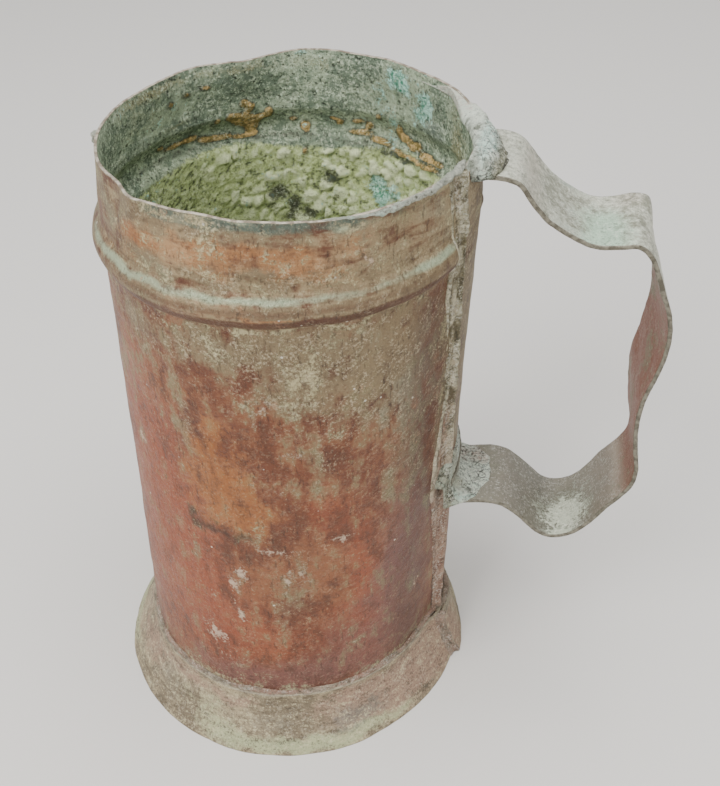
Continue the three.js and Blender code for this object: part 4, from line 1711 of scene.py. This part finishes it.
# %% The outline of the mound
ear_from = -21
ear_to = 48
ear_outer_line = [
    (ear_from, 47.4),
    (-18, 47.9),
    (-16, 50.0),
    (-13.5, 53.0),
    (-8.8, 53.8),
    (-3.4, 53.8),
    (2.6, 52.6),
    (8.9, 50.9),
    (12.5, 49.6),
    (18.5, 47.6),
    (24, 46.7),
    (ear_to, 46.6),
]
ear_inner_line = [
    (ear_from, 46.9),
    (-12, 46.2),
    (-3, 45.2),
    (5.5, 43.9),
    (14, 42.7),
    (22, 43.3),
    (32, 44.8),
    (ear_to, 46.2),
]
least_width = 0.7
ear_shape = flat_sheet(spaced((ear_from, ear_to, 0.55)), spaced((0, 1, 0.024)), 1.0)
ear_flat = coordinates(ear_shape)
ear_degrees = ear_flat[:, 0]
share = ear_flat[:, 1]
ear_angle = np.radians(ear_degrees)
at_rim = np.full(len(ear_flat), height)
ear_outer = traced(ear_degrees, ear_outer_line)
rim_outside = wall_radius(ear_angle, at_rim) - 0.35
inside_rim = smooth((ear_degrees - 14) / 8)
ear_outer += (np.minimum(ear_outer, rim_outside) - ear_outer) * inside_rim
ear_inner = np.minimum(traced(ear_degrees, ear_inner_line), ear_outer - least_width)
ear_radius = ear_inner + (ear_outer - ear_inner) * share
ear_plain = around(ear_angle, ear_radius, at_rim)
rough_side = 1 - smooth((ear_degrees - 10) / 10)
ear_radius += 0.45 * clouds(ear_plain, 3.5, 31) * smooth((share - 0.5) * 2) * rough_side
print("the mound reaches", round(float(ear_radius.max()), 1), "mm from the axis")

# %% [markdown]
# The mound's top falls from the rim to the strap like a quarter of an egg, and its lower face
# steps down outside the rim to lie on the strap. Lumps of two sizes make it rough.

# %% The mound over the rim
mound_start = 46.9
mound_sink = 2.8
mound_limit = height + 0.6
mound_rise = 0.1
end_fall = 1.8
flange_slope = 0.32
tail_fall = 2.2
strap_top = upper_level + strap_sheet / 2
ear_lump = clouds(ear_plain, 3.0, 32, 4)
inward = np.clip(mound_start - ear_radius, 0, 5)
outward = np.clip((ear_radius - mound_start) / np.maximum(ear_outer - mound_start, 0.5), 0, 1)
near_end = 1 - smooth((ear_degrees - ear_from) / 6)
crest = height + mound_rise - end_fall * near_end - flange_slope * inward
crest -= tail_fall * smooth((ear_degrees - 32) / 14)
ear_top = strap_top + 0.25 + (crest - strap_top - 0.25) * (1 - outward**2) ** 0.75
ear_rough = 0.85 * ear_lump + 0.3 * clouds(ear_plain, 1.3, 33)
ear_top += ear_rough * rough_side * smooth(share / 0.25)
over_strap = smooth((ear_radius - 47.4) / 0.8)
ear_bottom = height - mound_sink + (strap_top - 0.5 - height + mound_sink) * over_strap
ear_bottom -= 0.4 * near_end * over_strap
rounded = np.sqrt(np.clip(1 - (1 - np.clip(share / 0.1, 0, 1)) ** 2, 0, 1))
ear_top = ear_bottom + (ear_top - ear_bottom) * (0.25 + 0.75 * rounded)
ear_z = ear_bottom + np.maximum(ear_top - ear_bottom, 0.2) * ear_flat[:, 2]
outer_edge = smooth((share - 0.93) / 0.05) * smooth((ear_degrees + 12) / 3)
ear_marks = {
    "crackled": smooth((ear_radius - 46.5) / 2),
    "mint": 0.8 * hump(ear_radius, 49, 3) * hump(ear_degrees, -4, 15),
    "olive": 0.7 * smooth((ear_radius - 50) / 3) + 0.3 * clouds(ear_plain, 3, 34),
    "bruise": 0.8 * outer_edge,
}
ear_marks = {mark: rough_side * values for mark, values in ear_marks.items()}
ear_marks["lump"] = 0.4 * ear_lump * rough_side + 0.25 * (1 - rough_side) + 0.1
ear_marks["warm"] = 0.4 * smooth((-ear_degrees - 14) / 4) * smooth((ear_radius - 48) / 1.5)
ear_marks["pinkish"] = 0.4 * (1 - rough_side)
make_piece(
    "upper_solder_mound",
    ear_shape,
    around(ear_angle, ear_radius, np.minimum(ear_z, mound_limit)),
    ear_marks,
    [pale_solder],
    "upper_handle_solder",
)

# %% [markdown]
# The puddle lies on the strap's lower end. How far it reaches out along the strap is given at a
# few places across it, and its other side follows the wall. On the far side it climbs the wall,
# over the strap's turned-up end. Dirt lies on it in two arches.

# %% The outline of the puddle
puddle_from = -16.5
puddle_to = 12.4
puddle_reach_line = [
    (puddle_from, 0.6),
    (-14.5, 2.6),
    (-12.0, 6.4),
    (-10.0, 8.0),
    (-3.7, 10.4),
    (5.0, 10.6),
    (10.6, 8.2),
    (puddle_to, 4.0),
]
puddle_shape = flat_sheet(spaced((puddle_from, puddle_to, 0.5)), spaced((0, 1, 0.03)), 1.0)
puddle_flat = coordinates(puddle_shape)
puddle_y = puddle_flat[:, 0]
share = puddle_flat[:, 1]
puddle_wall = float(seat_radius(lower_level))
wall_angle = np.arcsin(puddle_y / puddle_wall)
on_wall = real_wall(wall_angle, np.full(len(puddle_flat), lower_level + 3))
puddle_start = np.sqrt((on_wall - 0.5) ** 2 - puddle_y**2)
puddle_curve = puddle_wall - np.sqrt(puddle_wall**2 - puddle_y**2)
puddle_end = puddle_wall - puddle_curve + traced(puddle_y, puddle_reach_line)
puddle_x = puddle_start + (puddle_end - puddle_start) * share
puddle_out = puddle_x - puddle_wall + puddle_curve + 1.4
puddle_plain = np.column_stack([puddle_y, puddle_out, 0 * puddle_y])
puddle_x += 0.6 * clouds(puddle_plain * (1, 0, 0), 3, 36) * share

# %% The puddle on the strap's lower end
wall_climb = 3.4
upright_point = 100
lower_run_line = strap_line[upright_point:][::-1]
line_top = np.interp(puddle_x + puddle_curve, lower_run_line[:, 0], lower_run_line[:, 1])
strap_surface = np.maximum(line_top, lower_level - 0.4) + strap_sheet / 2
puddle_lump = clouds(puddle_plain, 2.6, 37, 4)
from_end = puddle_y - puddle_from
far_half = 1 - smooth((puddle_y - 0.5) / 4)
climb = (1.0 + wall_climb * far_half) * (1 - smooth((puddle_out - 1.2) / 5.0))
climb *= smooth(from_end / 4.6)
crown = np.clip(1 - share**3, 0, 1)
puddle_high = 0.12 + 0.75 * crown
puddle_high += (0.35 * puddle_lump + climb) * crown * smooth(from_end / 2.5)
off_strap = 1 - smooth(from_end / 3.0)
puddle_bottom = strap_surface - 0.5 - 0.4 * off_strap
puddle_top = strap_surface + puddle_high.clip(0.05, 12) + 1.2 * off_strap
puddle_z = puddle_bottom + (puddle_top - puddle_bottom) * puddle_flat[:, 2]


def from_circle(across, out, radius):
    return np.abs(np.hypot(puddle_y - across, puddle_out - out) - radius)


arches = 0.5 * hump(from_circle(-1.5, 5.2, 3.6), 0, 0.4)
arches += 0.4 * hump(from_circle(6.5, 3.0, 3.4), 0, 0.35)
make_piece(
    "lower_solder_puddle",
    puddle_shape,
    np.column_stack([puddle_x + rim_lean * puddle_z / height, puddle_y, puddle_z]),
    {
        "lump": 0.35 * puddle_lump + 0.45,
        "crackled": 1.0,
        "mint": 0.2 + 0.3 * hump(puddle_y, -11.5, 1.6) + 0.25 * clouds(puddle_plain, 4, 50),
        "olive": 0.6 * smooth((-puddle_y - 3) / 4) * (1 - smooth((puddle_out - 4) / 4)),
        "pinkish": 0.45 * smooth(puddle_y / 5),
        "bruise": arches + 0.8 * hump(puddle_y, -8.5, 1.5) * hump(puddle_out, 7, 1.6),
    },
    [pale_solder],
    "lower_handle_solder",
)

# %% [markdown]
# ## The solder on the rim
#
# From the front to the handle a bright run of solder thickens the rim. Its two faces are bent
# into the two halves of a lumpy rod. It asks the noise for the rim's own wave, so that it goes up
# and down with the rim.

# %% The bright hem
hem_from = -70.0
hem_to = -19.0
hem_thick = 0.75
hem_shape = flat_sheet(spaced((0, 1, 0.006)), spaced((0, 1, 0.08)), 1.0)
hem_flat = coordinates(hem_shape)
hem_angle = np.radians(hem_from + (hem_to - hem_from) * hem_flat[:, 0])
hem_turn = math.pi * (0.03 + 0.94 * hem_flat[:, 1])
hem_side = 2 * hem_flat[:, 2] - 1
hem_place = around(hem_angle, body_radius, 0 * hem_angle)
hem_size = 0.25 + 0.75 * smooth(hem_flat[:, 0] / 0.45)
hem_size *= (1 + 0.5 * clouds(hem_place, 4, 40, 3)).clip(0.5, 1.6)
hem_plain = around(hem_angle, body_radius + 2 * hem_side, 2 * np.cos(hem_turn))
hem_lump = clouds(hem_plain, 2.0, 41, 4)
hem_half = hem_thick * hem_size * (1 + 0.35 * hem_lump)
hem_wall = wall_radius(hem_angle, np.full(len(hem_flat), height)) - rim_sheet / 2
hem_out = hem_wall + 0.35 * hem_size + hem_side * np.sin(hem_turn) * hem_half
rim_here = height - rim_margin + rim_wave_high * clouds(hem_place, rim_wave_long, 9)
hem_z = rim_here - 0.55 * hem_size - hem_half * np.cos(hem_turn)
make_piece(
    "rim_solder_hem",
    hem_shape,
    around(hem_angle, hem_out, hem_z),
    {
        "lump": 0.3 * hem_lump + 0.25,
        "mint": 0.35 * hump(hem_flat[:, 0], 0.3, 0.25),
        "bruise": 0.55 * (1 - smooth(hem_flat[:, 1] / 0.25)),
    },
    [hem_finish],
    "rim_solder",
)

# %% [markdown]
# Opposite the handle a drop of solder was left on the rim: a lump with two lobes, one above the
# other. It starts as a small ball. A waist is drawn in between its two lobes, and it is pushed
# into the rim a little, so that it looks run on rather than stuck on.

# %% The two-lobed drop
nub_degrees = -172
nub_half_out = 1.35
nub_half_wide = 1.4
nub_half_high = 1.75
nub_below_rim = 1.9
nub_waist = 0.42
nub_bite = 0.85
nub_angle = math.radians(nub_degrees)
nub_shape = bmesh.new()
bmesh.ops.create_icosphere(nub_shape, subdivisions=4, radius=1.0)
nub_flat = coordinates(nub_shape)
waist = 1 - nub_waist * (1 - np.abs(nub_flat[:, 2])) ** 3
nub_lump = 1 + 0.14 * clouds(nub_flat * 3, 2, 42)
nub_wall = float(wall_radius(np.array([nub_angle]), np.array([height]))[0])
nub_out = nub_wall + nub_half_out - nub_bite + nub_half_out * nub_flat[:, 0] * waist * nub_lump
nub_along = nub_half_wide * nub_flat[:, 1] * waist * nub_lump
nub_z = height - nub_below_rim + nub_half_high * nub_flat[:, 2] * nub_lump
make_piece(
    "rim_drop",
    nub_shape,
    around(nub_angle + nub_along / nub_wall, nub_out, nub_z),
    # The dark band round the waist between the two lobes is painted shade in the crease
    {"lump": 0.3 * nub_lump, "bruise": 0.7 * hump(nub_flat[:, 2], 0, 0.12)},
    [hem_finish],
    "rim_nub",
)

# %% [markdown]
# ## The stage
#
# The measure stands on a plain pale floor in soft light. A wide lamp shines from the upper left
# in front of it and another from overhead, so that light reaches into the mouth as well. A weak
# third lamp fills in from the right.

# %% The floor below and the light above
stage_shape = bmesh.new()
bmesh.ops.create_grid(stage_shape, x_segments=1, y_segments=1, size=3.0)
stage_mesh = bpy.data.meshes.new("stage_floor")
stage_shape.to_mesh(stage_mesh)
stage_shape.free()
stage_floor = bpy.data.objects.new("stage_floor", stage_mesh)
bpy.context.scene.collection.objects.link(stage_floor)
floor_paint = Finish("pale_floor")
stage_mesh.materials.append(floor_paint.done(colour("d9d5cf"), 0.85, 0.0, 0.0))

world = bpy.data.worlds.new("soft_sky")
bpy.context.scene.world = world
world.use_nodes = True
world.node_tree.nodes["Background"].inputs["Color"].default_value = (0.93, 0.96, 1.0, 1.0)
world.node_tree.nodes["Background"].inputs["Strength"].default_value = 0.6


def soft_light(name, place, target, size, power):
    """A square lamp that faces its target: places and size in metres, power in watts"""
    lamp = bpy.data.lights.new(name, "AREA")
    lamp.energy = power
    lamp.size = size
    light = bpy.data.objects.new(name, lamp)
    light.location = place
    light.rotation_mode = "QUATERNION"
    light.rotation_quaternion = (Vector(target) - Vector(place)).to_track_quat("-Z", "Y")
    bpy.context.scene.collection.objects.link(light)


soft_light("key_light", (-0.50, -0.75, 0.95), (0, 0, 0.12), 0.6, 12.0)
soft_light("sky_light", (0.1, -0.1, 1.2), (0, 0, 0.15), 1.0, 16.0)
soft_light("side_fill", (0.9, -0.6, 0.7), (0, 0, 0.1), 0.8, 1.2)

print("lights:", len(bpy.data.lights))

# %% [markdown]
# The camera stands where the photographer stood. Its place was found by matching the
# proportions of the measure, and it is given in millimetres from the middle of the foot. It looks
# down into the mouth and is turned a little to one side.

# %% The camera
camera_from_foot = Vector((65.26, -240.85, 301.08))
camera_turn = 9.359
camera_tilt = 50.703
camera_roll = -2.349
camera_data = bpy.data.cameras.new("portrait")
camera_data.lens = 50.3
camera_data.sensor_width = 36.0
camera = bpy.data.objects.new("portrait", camera_data)
camera_place = (camera_from_foot + Vector((*foot_middle, 0))) * MM
turned = Matrix.Rotation(math.radians(camera_turn), 4, "Z")
tilted = Matrix.Rotation(math.radians(camera_tilt), 4, "X")
rolled = Matrix.Rotation(math.radians(camera_roll), 4, "Z")
camera.matrix_world = Matrix.Translation(camera_place) @ turned @ tilted @ rolled
bpy.context.scene.collection.objects.link(camera)
bpy.context.scene.camera = camera
print("the camera is", round(camera_place.length, 3), "m from the origin")
